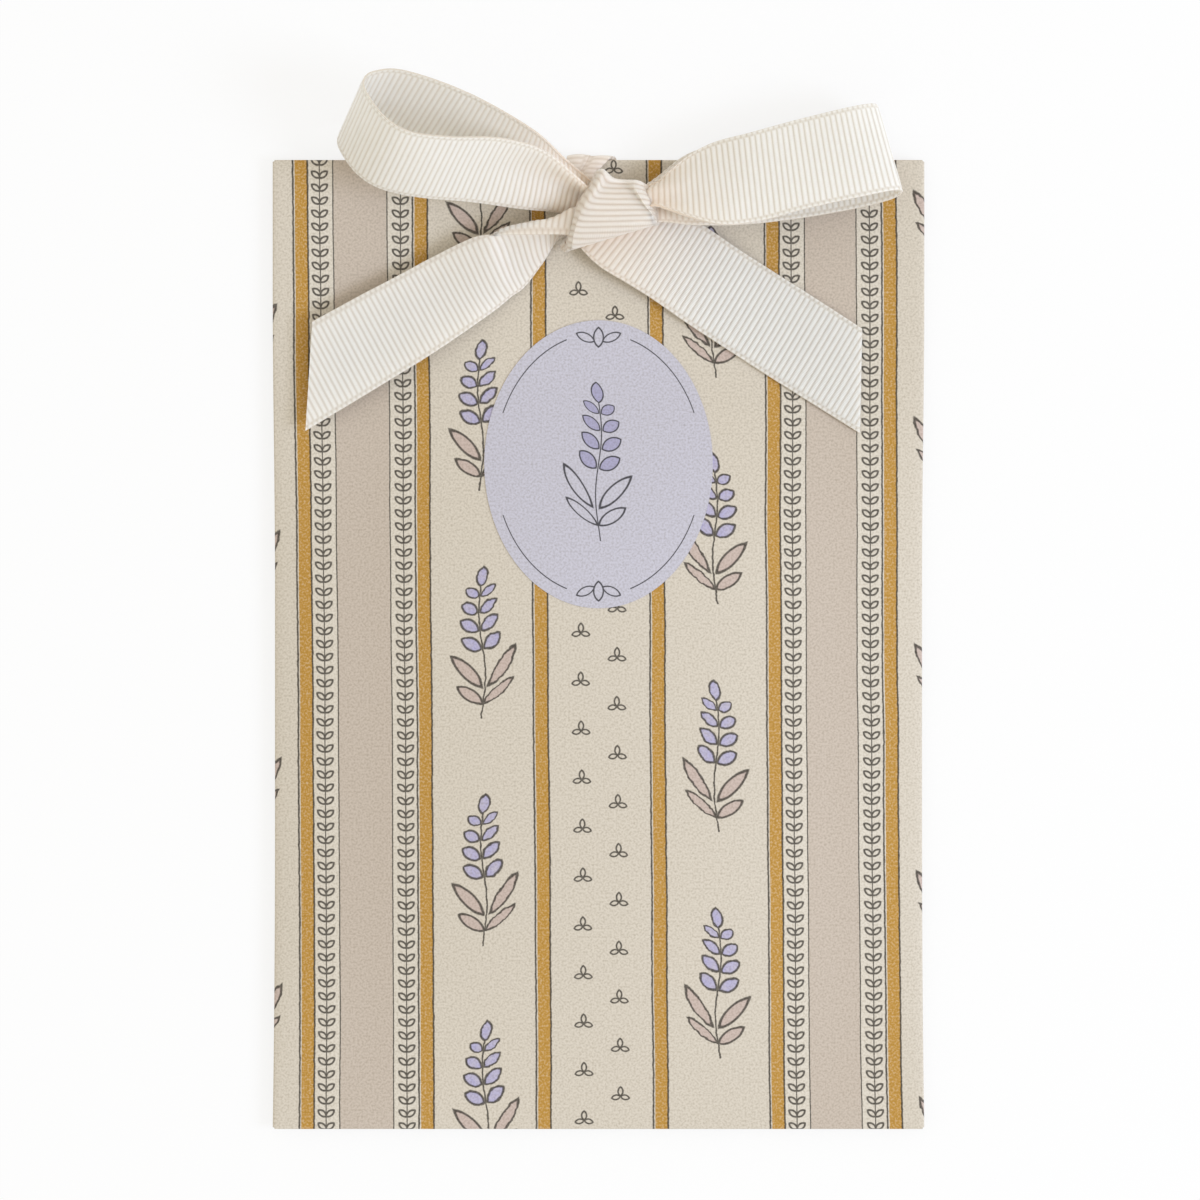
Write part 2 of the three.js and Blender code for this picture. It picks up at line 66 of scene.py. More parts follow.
camera_data = bpy.data.cameras.new("camera")
camera_data.sensor_width = SENSOR_MM
camera_data.lens = SENSOR_MM * CAMERA_ABOVE / SEEN_WIDTH
camera = bpy.data.objects.new("camera", camera_data)
camera.location = (*SEEN_MIDDLE, SEEN_LEVEL + CAMERA_ABOVE)
bpy.context.scene.collection.objects.link(camera)
bpy.context.scene.camera = camera
bpy.context.scene.view_settings.view_transform = "Standard"

# Studio: a white table top in an even, slightly warm room, with one cool soft lamp to the right.
# Together they are white on a level surface. The table keeps the sachet's shadow.
FLOOR_HALF = 3.0
FLOOR_BELOW = 0.1 * MM
FLOOR_WHITE = (0.93, 0.93, 0.93, 1)
WHITE = (1, 1, 1, 1)
SHADOW_LEFT = 0.2
ROOM_LIGHT = 0.77
ROOM_WARM = (1.04, 1.0, 0.91, 1)
KEY_LIGHT = 0.25
KEY_COOL = [(ROOM_LIGHT + KEY_LIGHT - ROOM_LIGHT * warm) / KEY_LIGHT for warm in ROOM_WARM[:3]]
KEY_PLACE = (1.39, -0.28, 1.11)
KEY_SIZE = 0.7


class Mark:
    """A value in a node tree, so that shader maths reads as maths."""

    def __init__(self, tree, socket=None):
        self.tree = tree
        self.socket = socket

    def node(self, kind, settings, sockets, out=0):
        made = self.tree.nodes.new(kind)
        for name, value in settings.items():
            setattr(made, name, value)
        for key, value in sockets.items():
            if isinstance(value, Mark):
                self.tree.links.new(value.socket, made.inputs[key])
            else:
                made.inputs[key].default_value = value
        return Mark(self.tree, made.outputs[out])

    def math(self, operation, *values):
        return self.node("ShaderNodeMath", {"operation": operation}, dict(enumerate(values)))

    def __add__(self, other):
        return self.math("ADD", self, other)

    def __sub__(self, other):
        return self.math("SUBTRACT", self, other)

    def __rsub__(self, other):
        return self.math("SUBTRACT", other, self)

    def __mul__(self, other):
        return self.math("MULTIPLY", self, other)

    def __abs__(self):
        return self.math("ABSOLUTE", self)

    __radd__ = __add__
    __rmul__ = __mul__


def seen_directly(mark):
    """1 where the camera sees a place straight, mirrored or through glass, 0 where it only gives light."""
    kinds = ("Is Camera Ray", "Is Glossy Ray", "Is Transmission Ray")
    camera_ray, glossy, through = (mark.node("ShaderNodeLightPath", {}, {}, kind) for kind in kinds)
    return mark.math("MINIMUM", camera_ray + glossy + through, 1)


def table_top():
    """White as the camera sees it, with a share of the light and shadow that fall on it."""
    made = bpy.data.materials.new("table_top")
    made.use_nodes = True
    mark = Mark(made.node_tree)
    lit = mark.node("ShaderNodeBsdfDiffuse", {}, {"Color": FLOOR_WHITE})
    white = mark.node("ShaderNodeEmission", {}, {"Color": WHITE, "Strength": 1})
    share = seen_directly(mark) * (1 - SHADOW_LEFT)
    both = mark.node("ShaderNodeMixShader", {}, {0: share, 1: lit, 2: white})
    made.node_tree.links.new(both.socket, made.node_tree.nodes["Material Output"].inputs["Surface"])
    return made


floor_mesh = bmesh.new()
bmesh.ops.create_grid(floor_mesh, x_segments=1, y_segments=1, size=FLOOR_HALF)
bmesh.ops.translate(floor_mesh, verts=floor_mesh.verts, vec=(0, 0, -FLOOR_BELOW))
floor_data = bpy.data.meshes.new("floor")
floor_mesh.to_mesh(floor_data)
floor = bpy.data.objects.new("floor", floor_data)
floor_data.materials.append(table_top())
bpy.context.scene.collection.objects.link(floor)

room = bpy.data.worlds.new("room")
room.use_nodes = True
room_mark = Mark(room.node_tree)
dim = room_mark.node("ShaderNodeBackground", {}, {"Color": ROOM_WARM, "Strength": ROOM_LIGHT})
bright = room_mark.node("ShaderNodeBackground", {}, {"Color": WHITE, "Strength": 1})
room_both = room_mark.node("ShaderNodeMixShader", {}, {0: seen_directly(room_mark), 1: dim, 2: bright})
room.node_tree.links.new(room_both.socket, room.node_tree.nodes["World Output"].inputs["Surface"])
bpy.context.scene.world = room


def soft_lamp(name, place, size, share, tint):
    """A square lamp turned to the sachet, giving that share of the light on a level white surface."""
    data = bpy.data.lights.new(name, "AREA")
    data.size = size
    data.color = tint
    place = Vector(place)
    data.energy = share * math.pi**2 * place.length**3 / place.z
    lamp = bpy.data.objects.new(name, data)
    lamp.location = place
    lamp.rotation_mode = "QUATERNION"
    lamp.rotation_quaternion = (-place).to_track_quat("-Z", "Y")
    bpy.context.scene.collection.objects.link(lamp)


soft_lamp("key_lamp", KEY_PLACE, KEY_SIZE, KEY_LIGHT, KEY_COOL)

# Scented filling: loose dried granules, poured into the inner pouch before it is sealed.
# They heap up in the middle and thin out to the rim.
HALF_WIDTH, HALF_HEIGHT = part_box("front_sheet")[1].xy
PAPER = 0.25 * MM
CROWN = 7 * MM
CROWN_ROUNDNESS = 2.2
SIDE_DRAW_IN = 0.4 * MM
HEAD = 24 * MM
BOTTOM_RISE = 55 * MM
HEAD_RISE = 50 * MM
BASE_MARGIN = 18 * MM
EDGE_LIFT = 1.2 * MM
FRONT_LOW = 0.92 * MM
GRANULE = 1.6 * MM
GRANULE_RISE = 0.12 * MM
FILLING_STEP = 0.8 * MM
FILLING_SLOPE = 12 * MM
FILLING_RIM = 0.15 * MM
ROOM_FOR_WEBS = 1.1 * MM
SHARP_ANGLE = math.radians(55)
# The sockets of a mix node that mixes colours
MIX_SHARE, MIX_FIRST, MIX_SECOND, MIX_RESULT = 0, 6, 7, 2


def smooth(low, high, value):
    """0 up to the low value, 1 from the high one, and a soft slope between."""
    share = np.clip((value - low) / (high - low), 0, 1)
    return share * share * (3 - 2 * share)


def bulge(x, y):
    """Share of the full rise at a place on the front: none at the edges and on the flat head."""
    across = np.maximum(1 - np.abs(x / HALF_WIDTH) ** CROWN_ROUNDNESS, 0)
    from_bottom = np.clip((y + HALF_HEIGHT) / BOTTOM_RISE, 0, 1)
    from_head = smooth(0, HEAD_RISE, HALF_HEIGHT - HEAD - y)
    return across * (1 - (1 - from_bottom) ** CROWN_ROUNDNESS) * from_head


def lift(x, y):
    """Underside of the back sheet: flat on the table, rising to the edges and the head."""
    side = smooth(0, BASE_MARGIN, HALF_WIDTH - np.abs(x))
    bottom = smooth(0, BASE_MARGIN, y + HALF_HEIGHT)
    head = smooth(0, BASE_MARGIN, HALF_HEIGHT - HEAD - y)
    return EDGE_LIFT * (1 - side * bottom * head)


def front_top(x, y):
    """Height of the printed face."""
    return lift(x, y) + FRONT_LOW + CROWN * bulge(x, y) + PAPER


def drawn_in(x, y):
    """The sideways place on the stuffed envelope, whose sides are pulled in a little."""
    return x * (1 - SIDE_DRAW_IN / HALF_WIDTH * bulge(0 * x, y))


def closed_sheet(low, high, flat):
    """A thin closed body between two skins, each an array of points in rows and columns.
    flat holds each point's place on the flat piece, for the material."""
    rows, columns = low.shape[0] - 1, low.shape[1] - 1
    made = bmesh.new()
    lay = made.verts.layers.float_vector.new("flat")
    bmesh.ops.create_grid(made, x_segments=columns, y_segments=rows, size=0.5)
    raised = bmesh.ops.extrude_face_region(made, geom=made.faces[:], use_keep_orig=True)
    upper = {v for v in raised["geom"] if isinstance(v, bmesh.types.BMVert)}
    for v in made.verts:
        place = round((v.co.y + 0.5) * rows), round((v.co.x + 0.5) * columns)
        v.co = (high if v in upper else low)[place]
        v[lay] = flat[place]
    bmesh.ops.recalc_face_normals(made, faces=made.faces[:])
    return made


def grid_over(box, step):
    """Columns and rows of x and y over a box of two corners."""
    spans = [np.linspace(box[0][i], box[1][i], round((box[1][i] - box[0][i]) / step) + 1) for i in (0, 1)]
    return np.meshgrid(*spans)


def between(x, y, low, high):
    """A closed sheet between two heights over a grid, with its flat places in millimetres."""
    flat = np.stack((x / MM, y / MM, 0 * x), axis=2)
    return closed_sheet(np.stack((x, y, low), axis=2), np.stack((x, y, high), axis=2), flat)


def from_rim(x, y):
    """How far each place of a grid lies from its nearest side."""
    sideways = np.minimum(x - x.min(), x.max() - x)
    return np.minimum(sideways, np.minimum(y - y.min(), y.max() - y))


def piece(name, made, body, slot, *materials):
    """A finished mesh as an object of the sachet, smooth but for its cut edges."""
    data = bpy.data.meshes.new(name)
    made.to_mesh(data)
    made.free()
    data.polygons.foreach_set("use_smooth", [True] * len(data.polygons))
    data.set_sharp_from_angle(angle=SHARP_ANGLE)
    for material in materials:
        data.materials.append(material)
    shown = bpy.data.objects.new(name, data)
    bpy.context.scene.collection.objects.link(shown)
    if body:
        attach(shown, body)
    return shown


def colour(red, green, blue):
    """A colour as it is seen on a screen, 0 to 255, for a shader."""
    return (*Color((red / 255, green / 255, blue / 255)).from_srgb_to_scene_linear(), 1)


def finish(name, dress):
    """A material whose shader sockets come from dress, which is given the tree to mark on."""
    made = bpy.data.materials.new(name)
    made.use_nodes = True
    shader = made.node_tree.nodes["Principled BSDF"]
    for key, value in dress(Mark(made.node_tree)).items():
        if isinstance(value, Mark):
            made.node_tree.links.new(value.socket, shader.inputs[key])
        else:
            shader.inputs[key].default_value = value
    return made


def noise(vector, scale, detail=2.0):
    return vector.node("ShaderNodeTexNoise", {}, {"Vector": vector, "Scale": scale, "Detail": detail})


def mixed(share, first, second):
    """Two colours mixed, by a share that changes over the surface."""
    sockets = {MIX_SHARE: share, MIX_FIRST: first, MIX_SECOND: second}
    return share.node("ShaderNodeMix", {"data_type": "RGBA"}, sockets, MIX_RESULT)


def grained(share, shade, dark):
    """A colour darkened by another, by a share that changes over the surface."""
    settings = {"data_type": "RGBA", "blend_type": "MULTIPLY"}
    sockets = {MIX_SHARE: share, MIX_FIRST: shade, MIX_SECOND: dark}
    return share.node("ShaderNodeMix", settings, sockets, MIX_RESULT)


def relief(height, strength, depth):
    return height.node("ShaderNodeBump", {}, {"Height": height, "Strength": strength, "Distance": depth})


def flat_place(mark):
    """A point's place on the flat piece, which its mesh carries."""
    return mark.node("ShaderNodeAttribute", {"attribute_name": "flat"}, {}, "Vector")


def granules(mark):
    place = flat_place(mark)
    grain = place.node("ShaderNodeTexVoronoi", {}, {"Vector": place, "Scale": 0.6}, "Color")
    shade = grain.node("ShaderNodeSeparateColor", {}, {"Color": grain}, "Red")
    husk = mixed(shade, colour(176, 150, 112), colour(139, 126, 150))
    return {"Base Color": husk, "Roughness": 0.9, "Normal": relief(noise(place, 2.0), 0.5, 0.2 * MM)}


filling_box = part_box("scented_filling")
fill_x, fill_y = grid_over(filling_box, FILLING_STEP)
fill_low = lift(fill_x, fill_y) + filling_box[0].z
fill_bumps = np.sin(2 * math.pi * fill_x / GRANULE)
fill_bumps = fill_bumps * np.sin(2 * math.pi * fill_y / GRANULE + 3 * fill_x / GRANULE)
fill_room = front_top(fill_x, fill_y) - PAPER - ROOM_FOR_WEBS - fill_low - GRANULE_RISE
fill_heap = np.maximum(fill_room - FILLING_RIM, 0) * smooth(0, FILLING_SLOPE, from_rim(fill_x, fill_y))
fill_high = fill_low + FILLING_RIM + fill_heap + GRANULE_RISE * fill_bumps
filling_mesh = between(fill_x, fill_y, fill_low, fill_high)
filling = piece("scented_filling_heap", filling_mesh, "sachet", "granules", finish("granules", granules))
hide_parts("scented_filling")

# Inner pouch: two webs of thin white non-woven fabric, heat-sealed to each other all round
# in a crimped rim. The envelope holds it.
WEB = 0.2 * MM
SEAL = 4 * MM
SWELL = 14 * MM
CRIMP = 1.2 * MM
CRIMP_RISE = 0.05 * MM
WEB_STEP = 0.6 * MM
WEB_CLEAR = 0.2 * MM


def non_woven(mark):
    place = flat_place(mark)
    even = {"Vector": place, "Scale": 0.9, "Randomness": 0.0}
    dots = place.node("ShaderNodeTexVoronoi", {}, even, "Distance")
    web = mixed(noise(place, 1.5, 4.0), colour(233, 230, 224), colour(246, 245, 241))
    return {"Base Color": web, "Roughness": 0.85, "Normal": relief(dots, 0.4, 0.1 * MM)}


fabric = finish("non_woven", non_woven)
web_x, web_y = grid_over(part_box("pouch_back_web"), WEB_STEP)
web_rim = from_rim(web_x, web_y)
crimp = CRIMP_RISE * np.sin(2 * math.pi * web_rim / CRIMP) * (1 - smooth(SEAL - CRIMP, SEAL, web_rim))
back_low = lift(web_x, web_y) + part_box("pouch_back_web")[0].z + crimp
front_low = back_low + WEB + WEB_CLEAR
under_front = front_top(web_x, web_y) - PAPER - WEB - WEB_CLEAR
front_low = front_low + np.maximum(under_front - front_low, 0) * smooth(SEAL, SEAL + SWELL, web_rim)
webs = (("pouch_back", "pouch_back_web", back_low), ("pouch_front", "pouch_front_web", front_low))
for web_name, web_node, web_low in webs:
    web_mesh = between(web_x, web_y, web_low, web_low + WEB)
    web = piece(web_name, web_mesh, "sachet", "non_woven", fabric)
    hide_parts(web_node)

# Back sheet: plain uncoated paper that closes the envelope. It is glued on the front sheet's flaps
# a little inside the folds, and has the punched hole for the ribbon.
BACK_STEP = 1.5 * MM
HOLE_RADIUS = 3.5 * MM
HOLE_MIDDLE = (0, HALF_HEIGHT - 12 * MM)
HOLE_SIDES = 24
FLAP_MARK = 0.08 * MM
SIDE_FLAP = 12 * MM
END_FLAP = 20 * MM
FLAP_EASE_IN = 0.5 * MM
FLAP_EASE_OUT = 1 * MM
CUT_TOLERANCE = 1e-7


def punch(made):
    """Cuts the ribbon's round hole through every layer of a sheet."""
    middle = Vector((*HOLE_MIDDLE, 0))
    for k in range(HOLE_SIDES):
        turn = 2 * math.pi * k / HOLE_SIDES
        out = Vector((math.cos(turn), math.sin(turn), 0))
        near = [f for f in made.faces if (f.calc_center_median() - middle).xy.length < 2 * HOLE_RADIUS]
        parts = list({e for f in near for e in f.edges} | {v for f in near for v in f.verts} | set(near))
        edge = middle + out * HOLE_RADIUS
        bmesh.ops.bisect_plane(made, geom=parts, dist=CUT_TOLERANCE, plane_co=edge, plane_no=out)
    inside = [f for f in made.faces if (f.calc_center_median() - middle).xy.length < HOLE_RADIUS]
    bmesh.ops.delete(made, geom=inside, context="FACES")


def plain_paper(mark):
    place = flat_place(mark)
    cloudy = noise(place, 0.08, 3.0)
    fibre = place.node("ShaderNodeMapping", {}, {"Vector": place, "Scale": (1, 6, 1)})
    tooth = noise(fibre, 1.4, 4.0)
    shade = mixed(cloudy * 0.5 + tooth * 0.5, colour(205, 194, 178), colour(219, 210, 196))
    uneven = relief(noise(place, 5.0, 3.0), 0.15, 0.1 * MM)
    return {"Base Color": shade, "Roughness": 0.85, "Normal": uneven}


def one_skin(x, y, z):
    """An open sheet over a grid, its flat places in millimetres."""
    rows, columns = x.shape[0] - 1, x.shape[1] - 1
    made = bmesh.new()
    bmesh.ops.create_grid(made, x_segments=columns, y_segments=rows, size=0.5)
    lay = made.verts.layers.float_vector.new("flat")
    for v in made.verts:
        place = round((v.co.y + 0.5) * rows), round((v.co.x + 0.5) * columns)
        v[lay] = (x[place] / MM, y[place] / MM, 0)
        v.co = (drawn_in(x[place], y[place]), y[place], z[place])
    return made


def paper_wall(shown, inner_slot):
    """Gives a sheet its thickness, behind its outer face."""
    wall = shown.modifiers.new("paper", "SOLIDIFY")
    wall.thickness = PAPER
    wall.offset = -1
    wall.material_offset = inner_slot
    wall.material_offset_rim = inner_slot


uncoated = finish("plain_paper", plain_paper)
back_x, back_y = grid_over(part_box("back_sheet"), BACK_STEP)
past_side = smooth(SIDE_FLAP - FLAP_EASE_IN, SIDE_FLAP + FLAP_EASE_OUT, HALF_WIDTH - np.abs(back_x))
past_end = smooth(END_FLAP - FLAP_EASE_IN, END_FLAP + FLAP_EASE_OUT, HALF_HEIGHT - np.abs(back_y))
sunk = FLAP_MARK * np.minimum(past_side, past_end)
back_mesh = one_skin(back_x, back_y, lift(back_x, back_y) + sunk)
punch(back_mesh)
bmesh.ops.reverse_faces(back_mesh, faces=back_mesh.faces[:])
back = piece("back_sheet_paper", back_mesh, "sachet", "plain_paper", uncoated)
paper_wall(back, 0)
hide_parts("back_sheet")

# Glue: four thin strips of dried paste between the flaps and the back sheet, shiny here and dull there.
# The CAD strips stay, with a material of their own.


def dried_glue(mark):
    place = mark.node("ShaderNodeTexCoord", {}, {}, "Object")
    cloudy = noise(place, 400.0, 3.0)
    shade = mixed(cloudy, colour(222, 212, 192), colour(236, 229, 214))
    return {"Base Color": shade, "Roughness": 0.35 + 0.3 * cloudy, "Normal": relief(cloudy, 0.3, 0.05 * MM)}


paste = finish("dried_glue", dried_glue)
for flap_side in ("left", "right", "bottom", "top"):
    strip = frame["nodes"]["glue_" + flap_side]
    strip.data.materials.clear()
    strip.data.materials.append(paste)

# Front sheet: printed uncoated paper, striped in cream, taupe and ochre with small sprigs between.
# The stuffing crowns it. Its four edges are folded round to the back, mitred at the corners.
FRONT_STEP = 1.25 * MM
FOLD_RADIUS = 0.35 * MM
FOLD_STEPS = 6
FLAP_RUNS = (1 * MM, 6 * MM)
MITRE_GAP = 0.15 * MM
CREAM = colour(220, 211, 196)
LIGHT_CREAM = colour(226, 218, 204)
TAUPE = colour(206, 193, 179)
OCHRE = colour(197, 150, 67)
INK = colour(66, 60, 52)
LAVENDER = colour(172, 169, 219)
LEAF_TAUPE = colour(206, 188, 178)
GRAIN_DARK = (0.72, 0.7, 0.66, 1)
# The print, in millimetres on the flat sheet
PRINT_MIDDLE = 0.3
PRINT_LEAN = 0.007
LEAN_LEVEL = -32.0
LEFT_STRETCH = 0.5
LEFT_STRETCH_FROM = -42.0
STRIPE_PITCH = 10.333
STRIPE_HALF = 1.25
OCHRE_HALF = 1.13
OCHRE_SHIFT = 0.16
TAUPE_HALF = 4.42
VINE_FROM_TAUPE = 6.9
VINE_PERIOD = 2.3
TREFOIL_PERIOD = 8.6
TREFOIL_ASIDE = 3.2
TREFOIL_LINE = 0.36
SPRIG_PERIOD = 40.0
LINE_SOFT = 0.05
STRIPE_LINE = 0.16
BAND_LINE = 0.11
VINE_STEM = 0.1
# Pairs of florets on a sprig: their height up the stem, and their size against the middle ones
FLORET_PAIRS = ((0.4, 1.1), (3.6, 1.05), (6.6, 0.95), (9.3, 0.8))


def below(value, limit, soft):
    """1 where a value is under the limit, easing to 0 just past it."""
    span = {"From Min": limit - soft, "From Max": limit + soft, "To Min": 1.0, "To Max": 0.0}
    return value.node("ShaderNodeMapRange", {"interpolation_type": "SMOOTHSTEP"}, {"Value": value, **span})


def repeated(value, period):
    """A place counted from the middle of its period."""
    return value.math("WRAP", value, period / 2, -period / 2)


def nearest(first, *others):
    """The least of several distances."""
    for other in others:
        first = first.math("MINIMUM", first, other)
    return first


def vector_of(x, y):
    return x.node("ShaderNodeCombineXYZ", {}, {"X": x, "Y": y})


def leaf(at, x, y, turn, length, width):
    """A leaf with two pointed ends: 1 along its middle, 2 on its outline."""
    scale = (length / 2 / math.sqrt(3), width / 2, 1)
    lie = {"Vector": at, "Location": (x, y, 0), "Rotation": (0, 0, math.radians(turn)), "Scale": scale}
    local = at.node("ShaderNodeMapping", {"vector_type": "TEXTURE"}, lie)
    side = at.node("ShaderNodeVectorMath", {"operation": "ABSOLUTE"}, {0: local})
    away = at.node("ShaderNodeVectorMath", {"operation": "ADD"}, {0: side, 1: (0, 1, 0)})
    return at.node("ShaderNodeVectorMath", {"operation": "LENGTH"}, {0: away}, "Value")


def sprig(across, up):
    """A stem of lavender: how deep a place is in its florets and leaves, and how far from its stem."""
    bent = across - 0.5 * across.math("SINE", up * 0.3)
    aside = vector_of(abs(bent), up + bent * 0.18)
    pairs = [leaf(aside, 1.7 * size, rise, 36, 3.5 * size, 1.9 * size) for rise, size in FLORET_PAIRS]
    bud = leaf(aside, 0, 12.0, 90, 3.4, 1.9)
    florets = nearest(bud, *pairs)
    leaves = nearest(leaf(aside, 3.2, -4.2, 50, 8.0, 2.0), leaf(aside, 2.5, -8.4, 38, 6.0, 1.7))
    stem = abs(bent) + 1 - below(up, 10.4, 0.1) + below(up, -13.0, 0.1)
    return florets, leaves, stem


def outline(depth, width):
    """The inked edge of a leaf."""
    return below(abs(depth - 2), width, width / 2)


def printed_paper(mark):
    place = flat_place(mark)
    apart = [place.node("ShaderNodeSeparateXYZ", {}, {"Vector": place}, axis) for axis in ("X", "Y")]
    drift = noise(place, 0.035, 1.0) - 0.5
    shake = noise(place, 0.8) - 0.5
    tooth = noise(place, 2.6, 3.0)
    stretch = LEFT_STRETCH * below(apart[0], LEFT_STRETCH_FROM, 6.0)
    y = apart[1]
    x = apart[0] + PRINT_LEAN * (y - LEAN_LEVEL) + 0.5 * drift + stretch - PRINT_MIDDLE
    aside = abs(x)
    # Ochre stripes, edged in ink
    from_stripe = STRIPE_PITCH - aside.math("PINGPONG", aside, STRIPE_PITCH)
    off_register = abs(x - OCHRE_SHIFT)
    ochre = below(STRIPE_PITCH - x.math("PINGPONG", off_register, STRIPE_PITCH), OCHRE_HALF, LINE_SOFT)
    ink = below(abs(from_stripe - STRIPE_HALF - 0.05 + 0.3 * shake), STRIPE_LINE, 0.06)
    # Taupe bands between thin lines, with a leafy vine on either side
    from_taupe = abs(aside - 4 * STRIPE_PITCH)
    taupe = below(from_taupe, TAUPE_HALF, LINE_SOFT)
    pale = below(from_taupe, STRIPE_PITCH, LINE_SOFT)
    from_edge = abs(from_taupe - TAUPE_HALF - 0.12 + 0.15 * shake)
    ink = ink.math("MAXIMUM", ink, below(from_edge, BAND_LINE, LINE_SOFT))
    from_vine = abs(from_taupe - VINE_FROM_TAUPE)
    vine_leaf = leaf(vector_of(from_vine, repeated(y, VINE_PERIOD)), 0.68, 0.1, 38, 1.75, 0.9)
    vine = ink.math("MAXIMUM", below(from_vine, VINE_STEM, LINE_SOFT), outline(vine_leaf, 0.38))
    # Small trefoils stepping from side to side down the middle
    petals = []
    for side in (1, -1):
        up = repeated(y + TREFOIL_PERIOD / 4 * side, TREFOIL_PERIOD)
        near = vector_of(abs(x - TREFOIL_ASIDE * side), up)
        petals += [leaf(near, 0, 0.8, 90, 1.6, 0.85), leaf(near, 0.8, -0.25, -12, 1.5, 0.8)]
    trefoil = nearest(*petals)
    # Sprigs of lavender, each column half a step from the next
    column = repeated(aside - 2 * STRIPE_PITCH, 4 * STRIPE_PITCH)
    right = 1 - below(x, 0, 0.01)
    outer = 1 - below(aside, 4 * STRIPE_PITCH, 0.01)
    up = repeated(y + SPRIG_PERIOD / 2 * (right + outer), SPRIG_PERIOD)
    wobble = 0.5 * shake
    florets, leaves, stem = sprig(column + wobble, up + wobble)
    lines = (vine, outline(trefoil, TREFOIL_LINE), outline(florets, 0.2), outline(leaves, 0.18),
             below(stem, 0.15, 0.06))
    for line in lines:
        ink = ink.math("MAXIMUM", ink, line)
    shade = mixed(pale, CREAM, LIGHT_CREAM)
    shade = mixed(taupe, shade, TAUPE)
    shade = mixed(ochre * (0.98 + 1.6 * (tooth - 0.5)), shade, OCHRE)
    shade = mixed(below(leaves, 2, 0.1), shade, LEAF_TAUPE)
    shade = mixed(below(florets, 2, 0.1) * (0.65 + 0.6 * shake), shade, LAVENDER)
    shade = mixed(ink * (0.75 + 0.3 * tooth), shade, INK)
    shade = grained(0.25 + 2.8 * (tooth - 0.5), shade, GRAIN_DARK)
    return {"Base Color": shade, "Roughness": 0.75, "Normal": relief(tooth, 0.12, 0.1 * MM),
            "Specular IOR Level": 0.3}


def folded(made, axis, sign, flap):
    """Folds one edge of the sheet round and turns its flap in behind."""
    lay = made.verts.layers.float_vector["flat"]
    half = (HALF_WIDTH, HALF_HEIGHT)[axis] - FOLD_RADIUS
    along = 1 - axis
    half_along = (HALF_WIDTH, HALF_HEIGHT)[along] - FOLD_RADIUS
    rim = half / MM - 0.01
    edges = [e for e in made.edges if e.is_boundary and all(sign * v[lay][axis] > rim for v in e.verts)]
    steps = [(math.pi * (k + 1) / FOLD_STEPS, 0) for k in range(FOLD_STEPS)]
    steps += [(math.pi, run) for run in (*FLAP_RUNS, flap)]
    for turn, run in steps:
        raised = bmesh.ops.extrude_edge_only(made, edges=edges)["geom"]
        edges = [e for e in raised if isinstance(e, bmesh.types.BMEdge) and e.is_boundary
                 and all(v in raised for v in e.verts)]
        for v in (v for v in raised if isinstance(v, bmesh.types.BMVert)):
            place = [0.0, 0.0]
            flat_along = v[lay][along] * MM
            mitre = run + MITRE_GAP if run else 0
            place[along] = math.copysign(min(abs(flat_along), half_along - mitre), flat_along)
            place[axis] = sign * (half + FOLD_RADIUS * math.sin(turn) - run)
            top = lift(*place) + FRONT_LOW + PAPER if run else front_top(*place)
            v.co = (drawn_in(*place), place[1], top - FOLD_RADIUS * (1 - math.cos(turn)))
            spread = [0.0, 0.0, 0.0]
            spread[along] = v[lay][along]
            spread[axis] = sign * (half + FOLD_RADIUS * turn + run) / MM
            v[lay] = spread


front_corner = (HALF_WIDTH - FOLD_RADIUS, HALF_HEIGHT - FOLD_RADIUS)
face_x, face_y = grid_over(([-half for half in front_corner], front_corner), FRONT_STEP)
front_mesh = one_skin(face_x, face_y, front_top(face_x, face_y))
for fold_axis, flap_run in ((0, SIDE_FLAP), (1, END_FLAP)):
    for fold_sign in (-1, 1):
        folded(front_mesh, fold_axis, fold_sign, flap_run)
punch(front_mesh)
printed = finish("printed_paper", printed_paper)
front = piece("front_sheet_paper", front_mesh, "sachet", "printed_paper", printed, uncoated)
paper_wall(front, 1)
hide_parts("front_sheet")

# Oval label: a thin paper sticker, grey-lavender, with a broken line round it, a small leaf ornament
# above and below, and a sprig in the middle. It lies on the crowned front.
LABEL_HALF = [(high - low) / 2 for low, high in zip(*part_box("oval_label"))][:2]
LABEL_MIDDLE = [(high + low) / 2 for low, high in zip(*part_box("oval_label"))][:2]
LABEL_SIDES = 128
LABEL_RINGS = 12
LABEL_OVER = 0.03 * MM
LABEL_THICK = 0.12 * MM
LILAC = colour(204, 202, 214)
LABEL_INK = colour(40, 38, 42)
LABEL_FLORET = colour(160, 156, 196)
# The label's drawing, in millimetres from its middle, with the line round it as a share of the oval
LINE_AT = 0.908
LINE_HALF = 0.0042
LINE_GAP_SIDE = 9.0
LINE_GAP_END = 5.6
OVAL_SOFT = 0.002
ORNAMENT_UP = 22.4
LABEL_SPRIG = 0.95


